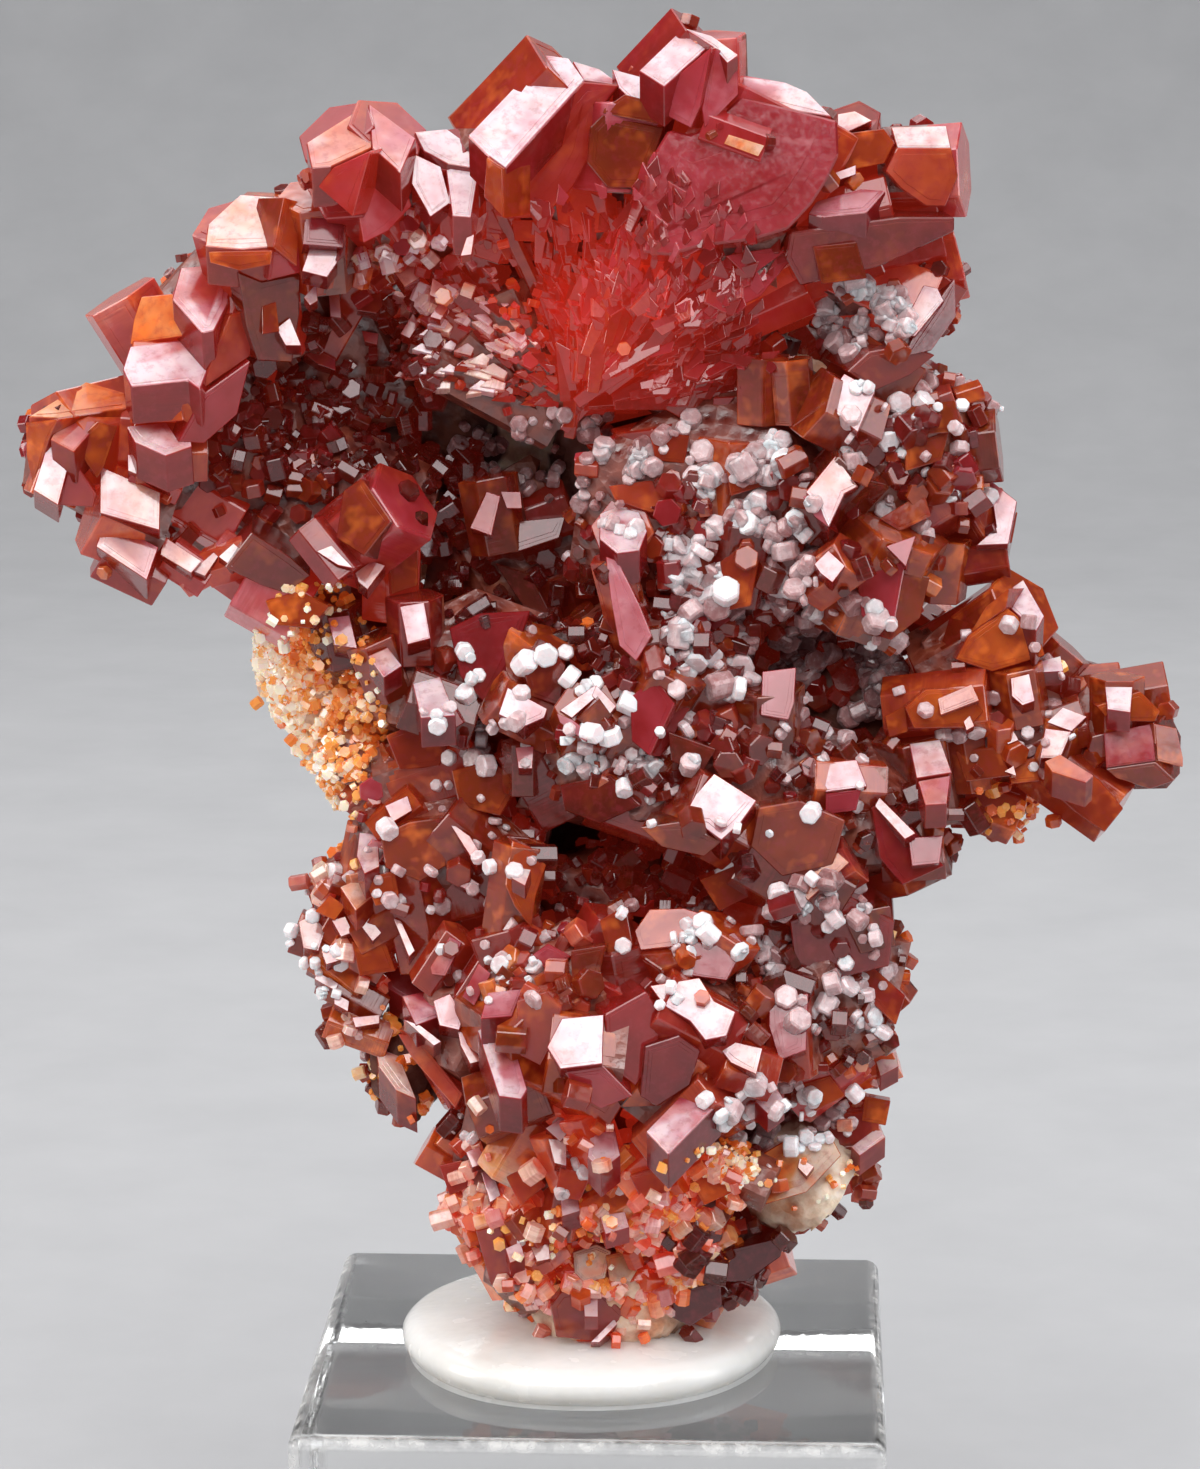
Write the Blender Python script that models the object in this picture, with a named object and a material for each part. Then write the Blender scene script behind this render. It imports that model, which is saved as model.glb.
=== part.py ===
"""Vanadinite crystals on pale matrix, set in putty on a clear acrylic display block.

The specimen faces -Y and stands on the block, whose underside is centred on the origin.
Every crystal is a six-sided prism.  Crystals that grew into one another are joined in one
solid, so each cluster is one piece: the crown, the middle, the lower part and the back.
Run with: blender --background --python part.py
"""

import math
import random

import bmesh
import bpy
from mathutils import Matrix, Vector, noise

MM = 0.001

# ---------------------------------------------------------------- driving dimensions (mm)
BLOCK_SIDE = 38.0
BLOCK_HEIGHT = 25.0
BLOCK_EDGE_ROUND = 0.9

PUTTY_RADIUS = 12.6
PUTTY_HEIGHT = 3.2
PUTTY_CENTRE = (-0.5, -1.5)
PUTTY_STEPS = 24

# Gap between pieces: beside a crystal, and beside a boulder of rock or of crystal bed
GAP = 0.32
LUMP_GAP = 0.5

# The specimen is laid out as it is met from in front: a place is given by how far across
# and how high its sight line from EYE meets the plane y = 0, and by its depth along y.
EYE = Vector((13.0, -290.0, 127.5))
LIGHT_FROM = Vector((0.0, -0.87, 0.5))

# How far a crystal placed by its side face runs on into its bed (mm)
ROOT = 1.6

# The fan of long crystals below the crest: its root (across, up, depth), the leans of its
# first and last crystal (degrees), their number and their length (mm)
FAN_ROOT = (-2.0, 86.5, 0.5)
FAN_FROM = 48.0
FAN_TO = 152.0
FAN_COUNT = 9
FAN_REACH = 11.0

SEED = 41
ROUGHNESS_OF_LUMPS = 0.13
CAP = "cap"
SIDE = "side"

# ---------------------------------------------------------------- rock of the matrix (mm)
# across, up, depth, then half width, half depth and half height of each lump
MATRIX_CORE = [
    (6.5, 98.5, 7, 13, 5.5, 8),
    (-13, 87.5, 9.5, 13, 6, 12),
    (8, 82.5, 7, 15, 8, 13),
    (-2.5, 68, 6, 14, 8, 10),
    (16.5, 68, 4.5, 14, 7, 8.5),
    (28, 66.5, 3.5, 7, 4, 3.8),
    (26, 62.5, 0, 2.8, 3, 3),
    (0, 51, 4, 15, 9, 12),
    (12.5, 48, 4.5, 7.2, 8, 9.5),
    (2.5, 39, 1, 12, 8, 9),
    (-12.5, 45, -0.5, 3.4, 4, 5.4),
]
MATRIX_SHOWN = [
    (-14.5, 69, 5.5, 6, 5, 8.5),
    (13.5, 37, -4, 4.6, 5, 4.2),
    (0, 30.5, -6.5, 3, 3.4, 2.8),
    (1.5, 28.5, -4, 6.5, 5.5, 4.2),
    (-19.5, 72, 4, 3.2, 3.4, 5),
]

# The ground that each field of crystals grew from, in the same columns
BED_LUMPS = {
    "back_upper": [
        (-2.5, 96.5, 13, 8, 3.4, 7),
        (9, 92, 12.5, 7, 3.4, 7),
        (2.5, 84, 14, 8, 3.4, 7),
        (-7.5, 87.5, 15, 7, 3.4, 6),
    ],
    "back_lower": [
        (0, 56, 11.5, 8, 3.6, 7),
        (8.5, 50.5, 10.5, 6, 3.4, 6),
        (-1.5, 46.5, 10.5, 6, 3.4, 6),
    ],
    "wing": [
        (-33, 85, 1.5, 5, 3.6, 4.4),
        (-25.5, 85, 2.5, 8, 4.6, 7),
        (-25.5, 92, 1.5, 4.6, 4.2, 7),
        (-20.5, 96, 1.5, 5, 4, 6),
        (-17, 81.5, 3, 8, 4.4, 6),
        (-16.5, 91.5, 6.5, 7, 5, 8),
    ],
    "crest": [
        (-12.5, 101.5, 0, 7, 4.2, 5),
        (6, 102, 0, 17, 5.4, 6),
        (20, 96.5, 1.5, 3, 3, 5),
        (-5, 94, 2.5, 9, 5, 7),
        (6.5, 95, 0.5, 6, 4.6, 5),
    ],
    "centre": [
        (18.5, 85.5, 0, 8, 6, 7),
        (9, 81, -0.5, 13, 6, 9.5),
        (4, 71.5, -3, 7, 5, 6),
        (-8, 70.5, 0, 9, 5, 6),
        (6, 64.5, -5, 12, 5, 5.6),
        (17.5, 61.5, -4, 6, 5.4, 5),
        (6.5, 90.5, 2.5, 7, 4.6, 4.5),
        (-16.5, 73.5, 1.8, 4, 3.6, 4),
        (-4.5, 78.5, 5, 8, 3.6, 7),
    ],
    "arm": [
        (24.5, 71, 0, 5, 4, 5.4),
        (26, 67, -1, 7, 4.4, 4),
        (31.5, 67, 0, 6.6, 3.8, 3.4),
    ],
    "flank": [
        (-10, 59, -1.5, 8, 5.4, 6),
        (-15.5, 55.5, -1, 4, 3.6, 4.4),
        (-16.5, 51.5, -1, 2.8, 3.2, 4.2),
        (-13, 63, -0.5, 4, 3.8, 3),
    ],
    "knob": [
        (2.5, 56, -1.5, 8, 5, 4.6),
        (-2, 47.5, -9, 8, 6, 6.4),
        (5.5, 46.5, -9, 8, 6, 7),
        (13, 49.5, -5.5, 8, 6, 7.4),
        (-8, 47.5, -6, 4.6, 5, 5.5),
    ],
    "foot": [
        (-5.5, 36, -6.5, 5.4, 4.6, 6.4),
        (1.5, 36.5, -8.5, 8, 4.6, 5),
        (-3.5, 31.5, -5, 5, 4, 5.4),
        (6.5, 32, -4.5, 5.4, 4.4, 5.4),
    ],
}

# ---------------------------------------------------------------- the crystals
# What is placed (the middle of the CAP or of the best lit SIDE face), across, up, depth,
# radius and length in mm, then in degrees: lean of the axis in the front plane (0 right,
# 90 up), tilt of its end towards the front, and turn away from the light about the axis.
CRYSTALS = {
    "wing": [
        (CAP, -35, 85.5, -3, 3.6, 9, 190, 40, 10),
        (SIDE, -35.5, 83.75, -6, 1.7, 3.2, 250, 10, 0),
        (SIDE, -30.5, 82, -5, 3.5, 2.7, 156, 15, 0),
        (SIDE, -30.5, 78.75, -4, 2.2, 2.7, 152, 10, 0),
        (SIDE, -28.5, 86, -5.5, 2.2, 2.9, 180, 10, 0),
        (SIDE, -28, 90.75, -5, 3.2, 4.1, 178, 5, 4),
        (CAP, -25.25, 95.25, -3, 2.7, 8, 110, 45, 20),
        (SIDE, -28.5, 94, -2, 2.6, 4, 120, 5, 30),
        (CAP, -23, 100, -3, 3.1, 9, 100, 25, 0),
        (SIDE, -19.75, 98.75, -1, 2.6, 5, 85, 0, 30),
        (SIDE, -17.75, 98.75, -5.5, 2.4, 4.4, 92, 22, 8),
        (SIDE, -20.75, 78, -3, 3, 2.7, 150, 0, 30),
        (SIDE, -15.5, 80.25, -5, 2.9, 4.6, 40, 20, 14),
        (SIDE, -12.75, 77.25, -2, 2, 3.2, 88, 0, 30),
        (SIDE, -24.5, 88, 1, 2.4, 4, 120, 0, 25),
        (SIDE, -22.5, 92, 1, 2.2, 4, 100, 0, 20),
    ],
    "crest": [
        (CAP, -16.75, 105.75, -5, 2.7, 8, 118, 32, 0),
        (CAP, -13.5, 106, -5, 2.6, 8, 62, 32, 0),
        (CAP, -16.25, 102.25, -6, 2.3, 7, 110, 60, 20),
        (CAP, -10.25, 104.5, -5, 2, 6, 112, 38, 10),
        (SIDE, -4, 106.5, -6, 3.8, 5.6, 45, 5, -32),
        (SIDE, -6.5, 101.75, -3, 3, 5, 70, 0, 20),
        (SIDE, 2.25, 108.5, -4, 1.9, 2, 60, 10, -10),
        (SIDE, 2, 105.5, -7, 3.1, 3.8, 86, -4, 10),
        (SIDE, 5.25, 110, -5, 2.7, 3.4, 46, 5, -34),
        (SIDE, 7.5, 108.75, -5, 2.5, 5.6, 92, 4, 14),
        (SIDE, 6.5, 102.5, -5.5, 5, 8, 62, -6, 16),
        (SIDE, 10.25, 103.25, -6.5, 6.2, 8.6, 64, -6, 20),
        (SIDE, 13.25, 103.75, -5, 3.8, 6, 60, -6, 16),
        (SIDE, 9.25, 105.25, -7.8, 1.4, 2.4, -20, 0, 30),
        (SIDE, 6.5, 98.25, -6, 3, 6, 36, 5, 10),
        (SIDE, 9, 97.25, -5, 2.7, 6, 30, 0, 15),
        (SIDE, 16.75, 104.5, -3, 3.2, 3.6, 100, 0, 30),
        (SIDE, 21, 103.25, -4, 2.9, 3.4, 4, 10, 30),
        (SIDE, 15.75, 101.5, -5, 1.9, 5, 14, 0, 2),
        (SIDE, 17.25, 98.75, -3, 3.2, 9, 12, 0, 30),
        (SIDE, 19.5, 97, -2, 2.6, 7, 15, 0, 25),
        (SIDE, 20.25, 94.75, -3, 1.8, 5, 58, 0, 2),
        (CAP, 21.25, 94.25, -1, 3.6, 7, -20, 12, 10),
    ],
    "centre": [
        (SIDE, 16, 88.5, -7, 2.4, 2.7, 151, 22, 0),
        (SIDE, 18.25, 89.25, -4, 3.1, 5, 60, 0, 30),
        (SIDE, 15, 82.75, -7, 2.3, 4, 50, 15, 14),
        (SIDE, 21.25, 87.75, -3, 2, 3.4, 20, 0, 30),
        (SIDE, 22.5, 85.25, -3, 2.3, 6, 8, 5, 30),
        (CAP, 25.5, 81.25, -1, 2, 6, 20, 42, 0),
        (SIDE, 20.25, 81.25, -4, 2.6, 4.5, 35, 5, 25),
        (SIDE, 18.75, 76.75, -7, 3.5, 5.6, 66, 12, 30),
        (SIDE, 14.75, 78, -9, 1.7, 2.1, 40, 20, 0),
        (CAP, 1.5, 80.25, -5, 2, 6, 120, 62, 0),
        (SIDE, 9.5, 78.5, -6, 2.4, 3.6, 80, 5, 20),
        (SIDE, 2, 75, -7, 1.4, 6.5, 103, 8, 10),
        (SIDE, -6.75, 81.75, 0, 1.9, 3.2, 100, 0, 2),
        (SIDE, -4.25, 80.5, 2, 2.2, 5, 20, 0, 25),
        (CAP, -6.5, 71.25, -4, 3.1, 6, 112, 70, 0),
        (SIDE, -4, 70.5, -6, 2.2, 3.8, 70, 10, 30),
        (SIDE, -5, 68.75, -8, 1.8, 2.9, 150, 15, 0),
        (CAP, -0.75, 68.25, -9, 2.1, 5.5, 70, 52, 0),
        (SIDE, 3.25, 68, -9, 2.3, 5.6, 62, 10, 16),
        (SIDE, 11.5, 67, -8, 2.3, 4.6, 90, 8, 12),
        (SIDE, 7.75, 62, -11, 2.8, 3.3, 146, 22, 0),
        (SIDE, 15.75, 64, -9, 1.8, 2.9, 175, 8, 0),
        (SIDE, 13.5, 60, -9, 3.5, 5.4, 150, 0, 30),
        (SIDE, 20.25, 60.75, -6, 3.4, 5, 110, 0, 16),
        (SIDE, -17, 73.5, -2, 1.7, 2.2, 100, 5, 0),
        (SIDE, -12, 74, -4, 1.8, 2.6, 92, 5, 0),
        (SIDE, -14, 71.5, -4, 1.8, 2.4, 110, 8, 2),
        (SIDE, -10.75, 69.25, -6, 2.2, 3, 160, 5, 2),
        (SIDE, 2.75, 64, -8, 2.7, 4.6, 160, 0, 25),
        (SIDE, -5.25, 76.75, 5, 2.7, 6, 80, 0, 28),
    ],
    "arm": [
        (CAP, 27.5, 75.25, -2, 2.8, 8.5, 42, 32, 0),
        (SIDE, 25, 72.25, -3, 3.1, 5.5, 30, 0, 28),
        (SIDE, 22.5, 68.75, -6, 2.2, 5, 8, 8, 22),
        (SIDE, 21.5, 64.25, -6, 2.7, 4.2, 100, 8, 6),
        (SIDE, 30.25, 68, -4, 1.7, 2.3, 20, 0, 0),
        (SIDE, 33.75, 69.5, -4, 1.7, 1.9, 90, 0, 0),
        (SIDE, 34.75, 68.75, -1, 2.3, 4.5, 10, 0, 30),
        (SIDE, 34.5, 66.25, -4, 2.4, 3.4, 8, 25, 12),
        (SIDE, 31.5, 63.5, -5, 2.2, 4.8, -33, 15, 12),
        (SIDE, 31, 68.25, 1, 2.8, 6, 5, 0, 30),
    ],
    "flank": [
        (SIDE, -15.5, 58.5, -4, 1.6, 3.1, 78, 0, 0),
        (SIDE, -12.5, 58.75, -4, 3.8, 6, 195, 0, 30),
        (SIDE, -7.25, 60.5, -6, 2.8, 5, 140, 0, 25),
        (SIDE, -10.5, 55, -6, 2.6, 5, 100, 0, 30),
        (SIDE, -5.25, 56.25, -10, 1.7, 5.2, 82, 0, 16),
        (SIDE, -14, 63.25, -3, 1.9, 3, 50, 0, 15),
        (SIDE, -10.5, 63.75, -4, 2.9, 5, 20, 0, 25),
    ],
    "knob": [
        (CAP, -3.5, 45.75, -15, 3, 7, -10, 56, 0),
        (SIDE, -1.5, 46, -17, 2.9, 3.1, 172, 4, 0),
        (SIDE, 2.25, 46, -14, 3.2, 5.4, 72, 0, 30),
        (SIDE, 4.75, 43.5, -15, 2.4, 3.9, 50, 5, 26),
        (SIDE, 5.5, 41, -16, 1.8, 4.4, 45, 8, 2),
        (CAP, 4.75, 53, -11, 2.5, 8, 97, 36, 0),
        (SIDE, 7.5, 52, -12, 2.2, 2.6, 60, 5, 6),
        (SIDE, 6.25, 48, -15, 2.9, 4, 150, 8, 2),
        (SIDE, 9.5, 44.75, -15, 1.7, 1.9, 160, 10, 0),
        (SIDE, 12.5, 47, -12, 2.2, 3.8, 95, 0, 2),
        (SIDE, 18.25, 49.75, -7, 2.2, 4, -50, 5, 6),
        (SIDE, 16, 53, -6, 3.7, 6.4, 120, 0, 20),
        (SIDE, 11.5, 54.25, -8, 2.6, 4.4, 70, 0, 25),
        (SIDE, 0, 51.75, -11, 2.4, 4, 60, 0, 12),
        (SIDE, -10, 43.5, -8, 2.1, 4.4, -60, 0, 28),
        (SIDE, -5.25, 41.5, -13, 2.4, 3.4, 20, 0, 30),
        (SIDE, 15.25, 43.75, -9, 2.1, 3.4, 40, 0, 25),
        (SIDE, 2.75, 50, -12, 3.4, 4.4, 100, 0, 25),
    ],
    "foot": [
        (SIDE, -7, 30.5, -5, 1.6, 4.6, -60, 5, 16),
        (SIDE, -1.5, 27.75, -8, 2.5, 4.2, -84, 0, 30),
        (SIDE, -0.5, 27.5, -8.5, 1.7, 1.7, 88, 0, 0),
        (SIDE, 10.25, 31, -4, 2.4, 4.2, 20, 0, 26),
        (SIDE, 6.5, 27.75, -5, 2, 3.2, -30, 0, 26),
        (SIDE, -2.25, 34.75, -12, 1.5, 2, 80, 0, 4),
        (SIDE, -2.75, 38.25, -13, 1.2, 2.3, 110, 5, 0),
        (SIDE, 1.25, 35.25, -13, 1.5, 2.2, 30, 0, 8),
        (SIDE, -10, 38.5, -7, 1.5, 2.6, 150, 0, 20),
        (SIDE, -4.75, 38.75, -12, 1.8, 3, 60, 0, 26),
        (SIDE, 3.75, 37.5, -14, 1.7, 2.4, 40, 0, 22),
    ],
}

# Small crystals strewn over a bed: how many, least and greatest radius (mm)
FILL = {
    "flank": (3, 1.0, 1.6),
    "foot": (6, 1.2, 1.8),
    "back_upper": (8, 1.8, 2.8),
    "back_lower": (7, 1.6, 2.5),
}

# Each cluster is one solid: its name, and the fields of the tables above that it is made of
CLUSTERS = {
    "lower_crystals": ["knob", "foot"],
    "middle_crystals": ["centre", "arm", "flank"],
    "crown_crystals": ["crest", "wing"],
    "back_upper_crystals": ["back_upper"],
    "back_lower_crystals": ["back_lower"],
}


# ---------------------------------------------------------------- places and directions
def sight(across, up, depth):
    """The point at a depth (mm) on the sight line that meets y = 0 at (across, up)."""
    near = (depth - EYE.y) / -EYE.y
    target = Vector((across, 0.0, up))
    return EYE + (target - EYE) * near


def heading(lean, tilt):
    """Unit vector that leans in the front plane and tilts towards the front."""
    lean = math.radians(lean)
    tilt = math.radians(tilt)
    flat = math.cos(tilt)
    return Vector((flat * math.cos(lean), -math.sin(tilt), flat * math.sin(lean)))


def lit_normal(axis, turn):
    """The direction square to the axis that looks most towards the light, then turned."""
    lit = LIGHT_FROM - axis * LIGHT_FROM.dot(axis)
    if lit.length < 0.05:
        lit = axis.orthogonal()
    return Matrix.Rotation(math.radians(turn), 3, axis) @ lit.normalized()


# ---------------------------------------------------------------- solids
def link(name, shape):
    """A new object in the scene from a bmesh, whose faces are made to point out."""
    mesh = bpy.data.meshes.new(name)
    bmesh.ops.recalc_face_normals(shape, faces=shape.faces)
    shape.to_mesh(mesh)
    shape.free()
    thing = bpy.data.objects.new(name, mesh)
    bpy.context.collection.objects.link(thing)
    return thing


def prism(cap, axis, side_normal, radius, length, swell=0.0):
    """A hexagonal crystal (mm): its end face is centred on cap, one side faces side_normal."""
    corner_radius = radius + swell / math.cos(math.pi / 6)
    shape = bmesh.new()
    bmesh.ops.create_cone(
        shape, cap_ends=True, segments=6, radius1=corner_radius, radius2=corner_radius,
        depth=length + 2 * swell,
    )
    # the corners start on the cone's own Y axis, so its X axis is the middle of a side
    across = side_normal.normalized()
    along = axis.normalized()
    turn = Matrix((across, along.cross(across), along)).transposed().to_4x4()
    place = Matrix.Translation(cap - along * (length / 2))
    bmesh.ops.transform(shape, matrix=Matrix.Scale(MM, 4) @ place @ turn, verts=shape.verts)
    return link("crystal", shape)


def lump(row, seed, swell=0.0, fineness=1):
    """A rough boulder (mm), star shaped about its middle."""
    across, up, depth, half_x, half_y, half_z = row
    middle = sight(across, up, depth)
    grain = Vector((seed * 3.1, seed * 1.7, 0.0))
    shape = bmesh.new()
    bmesh.ops.create_icosphere(shape, subdivisions=fineness, radius=1.0)
    for vert in shape.verts:
        way = vert.co.normalized()
        rough = 1.0 + ROUGHNESS_OF_LUMPS * noise.noise(way * 1.7 + grain)
        place = Vector((way.x * half_x, way.y * half_y, way.z * half_z)) * rough
        place += place.normalized() * swell
        vert.co = (middle + place) * MM
    return link("lump", shape)


def rock_lumps(swell=0.0):
    """Every lump of the matrix; the bare ones are cut finer than those behind crystals."""
    core = [lump(row, i, swell) for i, row in enumerate(MATRIX_CORE)]
    shown = [lump(row, 30 + i, swell, 2) for i, row in enumerate(MATRIX_SHOWN)]
    return core + shown


def bed_lumps(field, swell=0.0):
    return [lump(row, 10 + i, swell) for i, row in enumerate(BED_LUMPS[field])]


# ---------------------------------------------------------------- joining and cutting
def apply_boolean(thing, others, operation):
    """Join the others to thing, or cut them from it, and remove them."""
    tools = bpy.data.collections.new("tools")
    for other in others:
        tools.objects.link(other)
    step = thing.modifiers.new("step", "BOOLEAN")
    step.operation = operation
    step.solver = "EXACT"
    step.operand_type = "COLLECTION"
    step.collection = tools
    depsgraph = bpy.context.evaluated_depsgraph_get()
    made = bpy.data.meshes.new_from_object(thing.evaluated_get(depsgraph))
    thing.modifiers.clear()
    thing.data = made
    for other in others:
        bpy.data.objects.remove(other)
    bpy.data.collections.remove(tools)
    return thing


def volume_of(faces):
    """Signed volume inside a set of faces."""
    total = 0.0
    for face in faces:
        first = face.verts[0].co
        for second, third in zip(face.verts[1:-1], face.verts[2:]):
            total += first.dot(second.co.cross(third.co)) / 6.0
    return total


def connected_bodies(shape):
    """The faces of a bmesh, sorted into sets that hang together."""
    left = set(shape.faces)
    bodies = []
    while left:
        body = set()
        waiting = [left.pop()]
        while waiting:
            face = waiting.pop()
            body.add(face)
            for edge in face.edges:
                for other in edge.link_faces:
                    if other in left:
                        left.discard(other)
                        waiting.append(other)
        bodies.append(body)
    return bodies


def keep_main_body(thing):
    """Merge doubles, then drop loose chips and sealed bubbles, so one closed body is left."""
    shape = bmesh.new()
    shape.from_mesh(thing.data)
    bmesh.ops.remove_doubles(shape, verts=shape.verts, dist=0.000002)
    bodies = sorted(connected_bodies(shape), key=volume_of)
    for body in bodies[:-1]:
        bmesh.ops.delete(shape, geom=list(body), context="FACES")
    shape.to_mesh(thing.data)
    shape.free()
    return thing


# ---------------------------------------------------------------- materials
def finish_material(name, colour, roughness, metallic=0.0, transmission=0.0, ior=1.5):
    material = bpy.data.materials.new(name)
    material.use_nodes = True
    shader = material.node_tree.nodes["Principled BSDF"]
    shader.inputs["Base Color"].default_value = (*colour, 1.0)
    shader.inputs["Roughness"].default_value = roughness
    shader.inputs["Metallic"].default_value = metallic
    shader.inputs["Transmission Weight"].default_value = transmission
    shader.inputs["IOR"].default_value = ior
    material.diffuse_color = (*colour, 1.0)
    return material


def finish(thing, name, material, smooth_below=0.0):
    """Name a piece, give it its material, and shade it smooth below an angle (degrees)."""
    thing.name = name
    thing.data.name = name
    thing.data.materials.clear()
    thing.data.materials.append(material)
    if smooth_below > 0.0:
        thing.data.shade_smooth()
        thing.data.set_sharp_from_angle(angle=math.radians(smooth_below))
    else:
        thing.data.shade_flat()
    return thing


# ---------------------------------------------------------------- block and putty
def acrylic_block():
    """A clear square block with softly rounded edges."""
    shape = bmesh.new()
    bmesh.ops.create_cube(shape, size=1.0)
    size = (BLOCK_SIDE * MM, BLOCK_SIDE * MM, BLOCK_HEIGHT * MM)
    bmesh.ops.scale(shape, vec=size, verts=shape.verts)
    bmesh.ops.translate(shape, vec=(0.0, 0.0, BLOCK_HEIGHT * MM / 2), verts=shape.verts)
    bmesh.ops.bevel(
        shape, geom=shape.edges[:], offset=BLOCK_EDGE_ROUND * MM, segments=2, profile=0.5,
        affect="EDGES", material=-1,
    )
    clear = finish_material("clear_acrylic", (0.95, 0.95, 0.94), 0.03, 0.0, 1.0, 1.49)
    return finish(link("acrylic_block", shape), "acrylic_block", clear, 35.0)


def putty_profile():
    """Radius and height pairs (mm) of the pad, from its foot to the middle of its top."""
    foot = BLOCK_HEIGHT + GAP
    lip = 0.42 * PUTTY_HEIGHT
    points = [(PUTTY_RADIUS - 0.5, foot)]
    for degrees in (-20, 16, 52, 88):
        angle = math.radians(degrees)
        inward = lip * 1.6 * (1 - math.cos(angle))
        points.append((PUTTY_RADIUS - inward, foot + lip * (0.45 + math.sin(angle))))
    lip_radius, lip_top = points[-1]
    rise = PUTTY_HEIGHT + foot - lip_top
    for share in (1 / 3, 2 / 3, 1.0):
        height = lip_top + rise * math.sin(share * math.pi / 2)
        points.append((lip_radius * (1 - share * 0.62), height))
    return points


def mounting_putty(material):
    """A pressed pad of putty: a turned, slightly uneven disc."""
    shape = bmesh.new()
    middle_x, middle_y = PUTTY_CENTRE
    rings = []
    for radius, height in putty_profile():
        ring = []
        for step in range(PUTTY_STEPS):
            angle = 2 * math.pi * step / PUTTY_STEPS
            out = radius * (1.0 + 0.018 * math.sin(2 * angle + 0.6) + 0.01 * math.sin(5 * angle))
            x = (middle_x + out * math.cos(angle)) * MM
            y = (middle_y + out * math.sin(angle)) * MM
            ring.append(shape.verts.new((x, y, height * MM)))
        rings.append(ring)
    for low, high in zip(rings[:-1], rings[1:]):
        for step in range(PUTTY_STEPS):
            after = (step + 1) % PUTTY_STEPS
            shape.faces.new((low[step], low[after], high[after], high[step]))
    shape.faces.new(list(reversed(rings[0])))
    shape.faces.new(rings[-1])
    pad = link("mounting_putty", shape)
    cutters = rock_lumps(LUMP_GAP)
    ball = (Vector((middle_x, middle_y, BLOCK_HEIGHT)), PUTTY_RADIUS)
    for field in CLUSTERS["lower_crystals"]:
        cutters += swollen_field(field, [ball])
    keep_main_body(apply_boolean(pad, cutters, "DIFFERENCE"))
    return finish(pad, "mounting_putty", material, 40.0)


# ---------------------------------------------------------------- crystals
# A crystal is the tuple of prism's arguments: cap, axis, side_normal, radius, length.
def placed_crystal(row):
    """The crystal that one row of the table places."""
    placed_by, across, up, depth, radius, length, lean, tilt, turn = row
    axis = heading(lean, tilt)
    normal = lit_normal(axis, turn)
    spot = sight(across, up, depth)
    if placed_by == CAP:
        return spot, axis, normal, radius, length
    back_to_face = math.radians(round(turn / 60.0) * -60.0)
    face = Matrix.Rotation(back_to_face, 3, axis) @ normal
    cap = spot - face * radius * math.cos(math.pi / 6) + axis * (length / 2)
    return cap, axis, normal, radius, length + ROOT


def strewn_crystals(field):
    """Seeded small crystals that stand on a field's bed, outward with some scatter."""
    count, least, greatest = FILL.get(field, (0, 0.0, 0.0))
    rng = random.Random(f"{SEED}-{field}")
    made = []
    while len(made) < count:
        across, up, depth, half_x, half_y, half_z = rng.choice(BED_LUMPS[field])
        way = Vector((rng.uniform(-1, 1), rng.uniform(-1, 0.25), rng.uniform(-1, 1)))
        if field.startswith("back"):
            way.y = -way.y
        if not 0.2 < way.length < 1.0:
            continue
        way.normalize()
        foot = sight(across, up, depth) + Vector((way.x * half_x, way.y * half_y, way.z * half_z))
        outward = Vector((way.x / half_x, way.y / half_y, way.z / half_z)).normalized()
        scatter = Vector((rng.uniform(-0.6, 0.6), rng.uniform(-0.6, 0.6), rng.uniform(-0.6, 0.6)))
        axis = (outward + scatter).normalized()
        radius = rng.uniform(least, greatest)
        stand = rng.uniform(0.7, 1.5) * radius + 0.4
        side = lit_normal(axis, rng.uniform(-30, 30))
        made.append((foot + outward * stand, axis, side, radius, stand + 2.0 + radius))
    return made


def fan_crystals():
    """The long crystals that spread like a fan below the crest."""
    rng = random.Random(f"{SEED}-fan")
    root = sight(*FAN_ROOT)
    made = []
    for step in range(FAN_COUNT):
        lean = FAN_FROM + (FAN_TO - FAN_FROM) * step / (FAN_COUNT - 1) + rng.uniform(-3, 3)
        axis = heading(lean, rng.uniform(4, 14))
        reach = FAN_REACH * rng.uniform(0.75, 1.1)
        side = lit_normal(axis, rng.uniform(-30, 30))
        made.append((root + axis * reach, axis, side, rng.uniform(1.2, 2.0), reach - 1.0))
    return made


def field_crystals(field):
    """Every crystal of a field."""
    made = [placed_crystal(row) for row in CRYSTALS.get(field, [])]
    if field == "crest":
        made += fan_crystals()
    return made + strewn_crystals(field)


def ball_round(crystal):
    """Middle and radius (mm) of a ball that holds one crystal."""
    cap, axis, _, radius, length = crystal
    return cap - axis * (length / 2), math.hypot(length / 2, radius) + 1.0


def near(crystal, balls):
    """Whether a crystal comes near any of the balls given."""
    middle, size = ball_round(crystal)
    return any((middle - other).length < size + other_size for other, other_size in balls)


def swollen_field(field, balls):
    """Cutters that clear a gap round a field's bed, and round its crystals near the balls."""
    crystals = [crystal for crystal in field_crystals(field) if near(crystal, balls)]
    return [prism(*crystal, swell=GAP) for crystal in crystals] + bed_lumps(field, LUMP_GAP)


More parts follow.
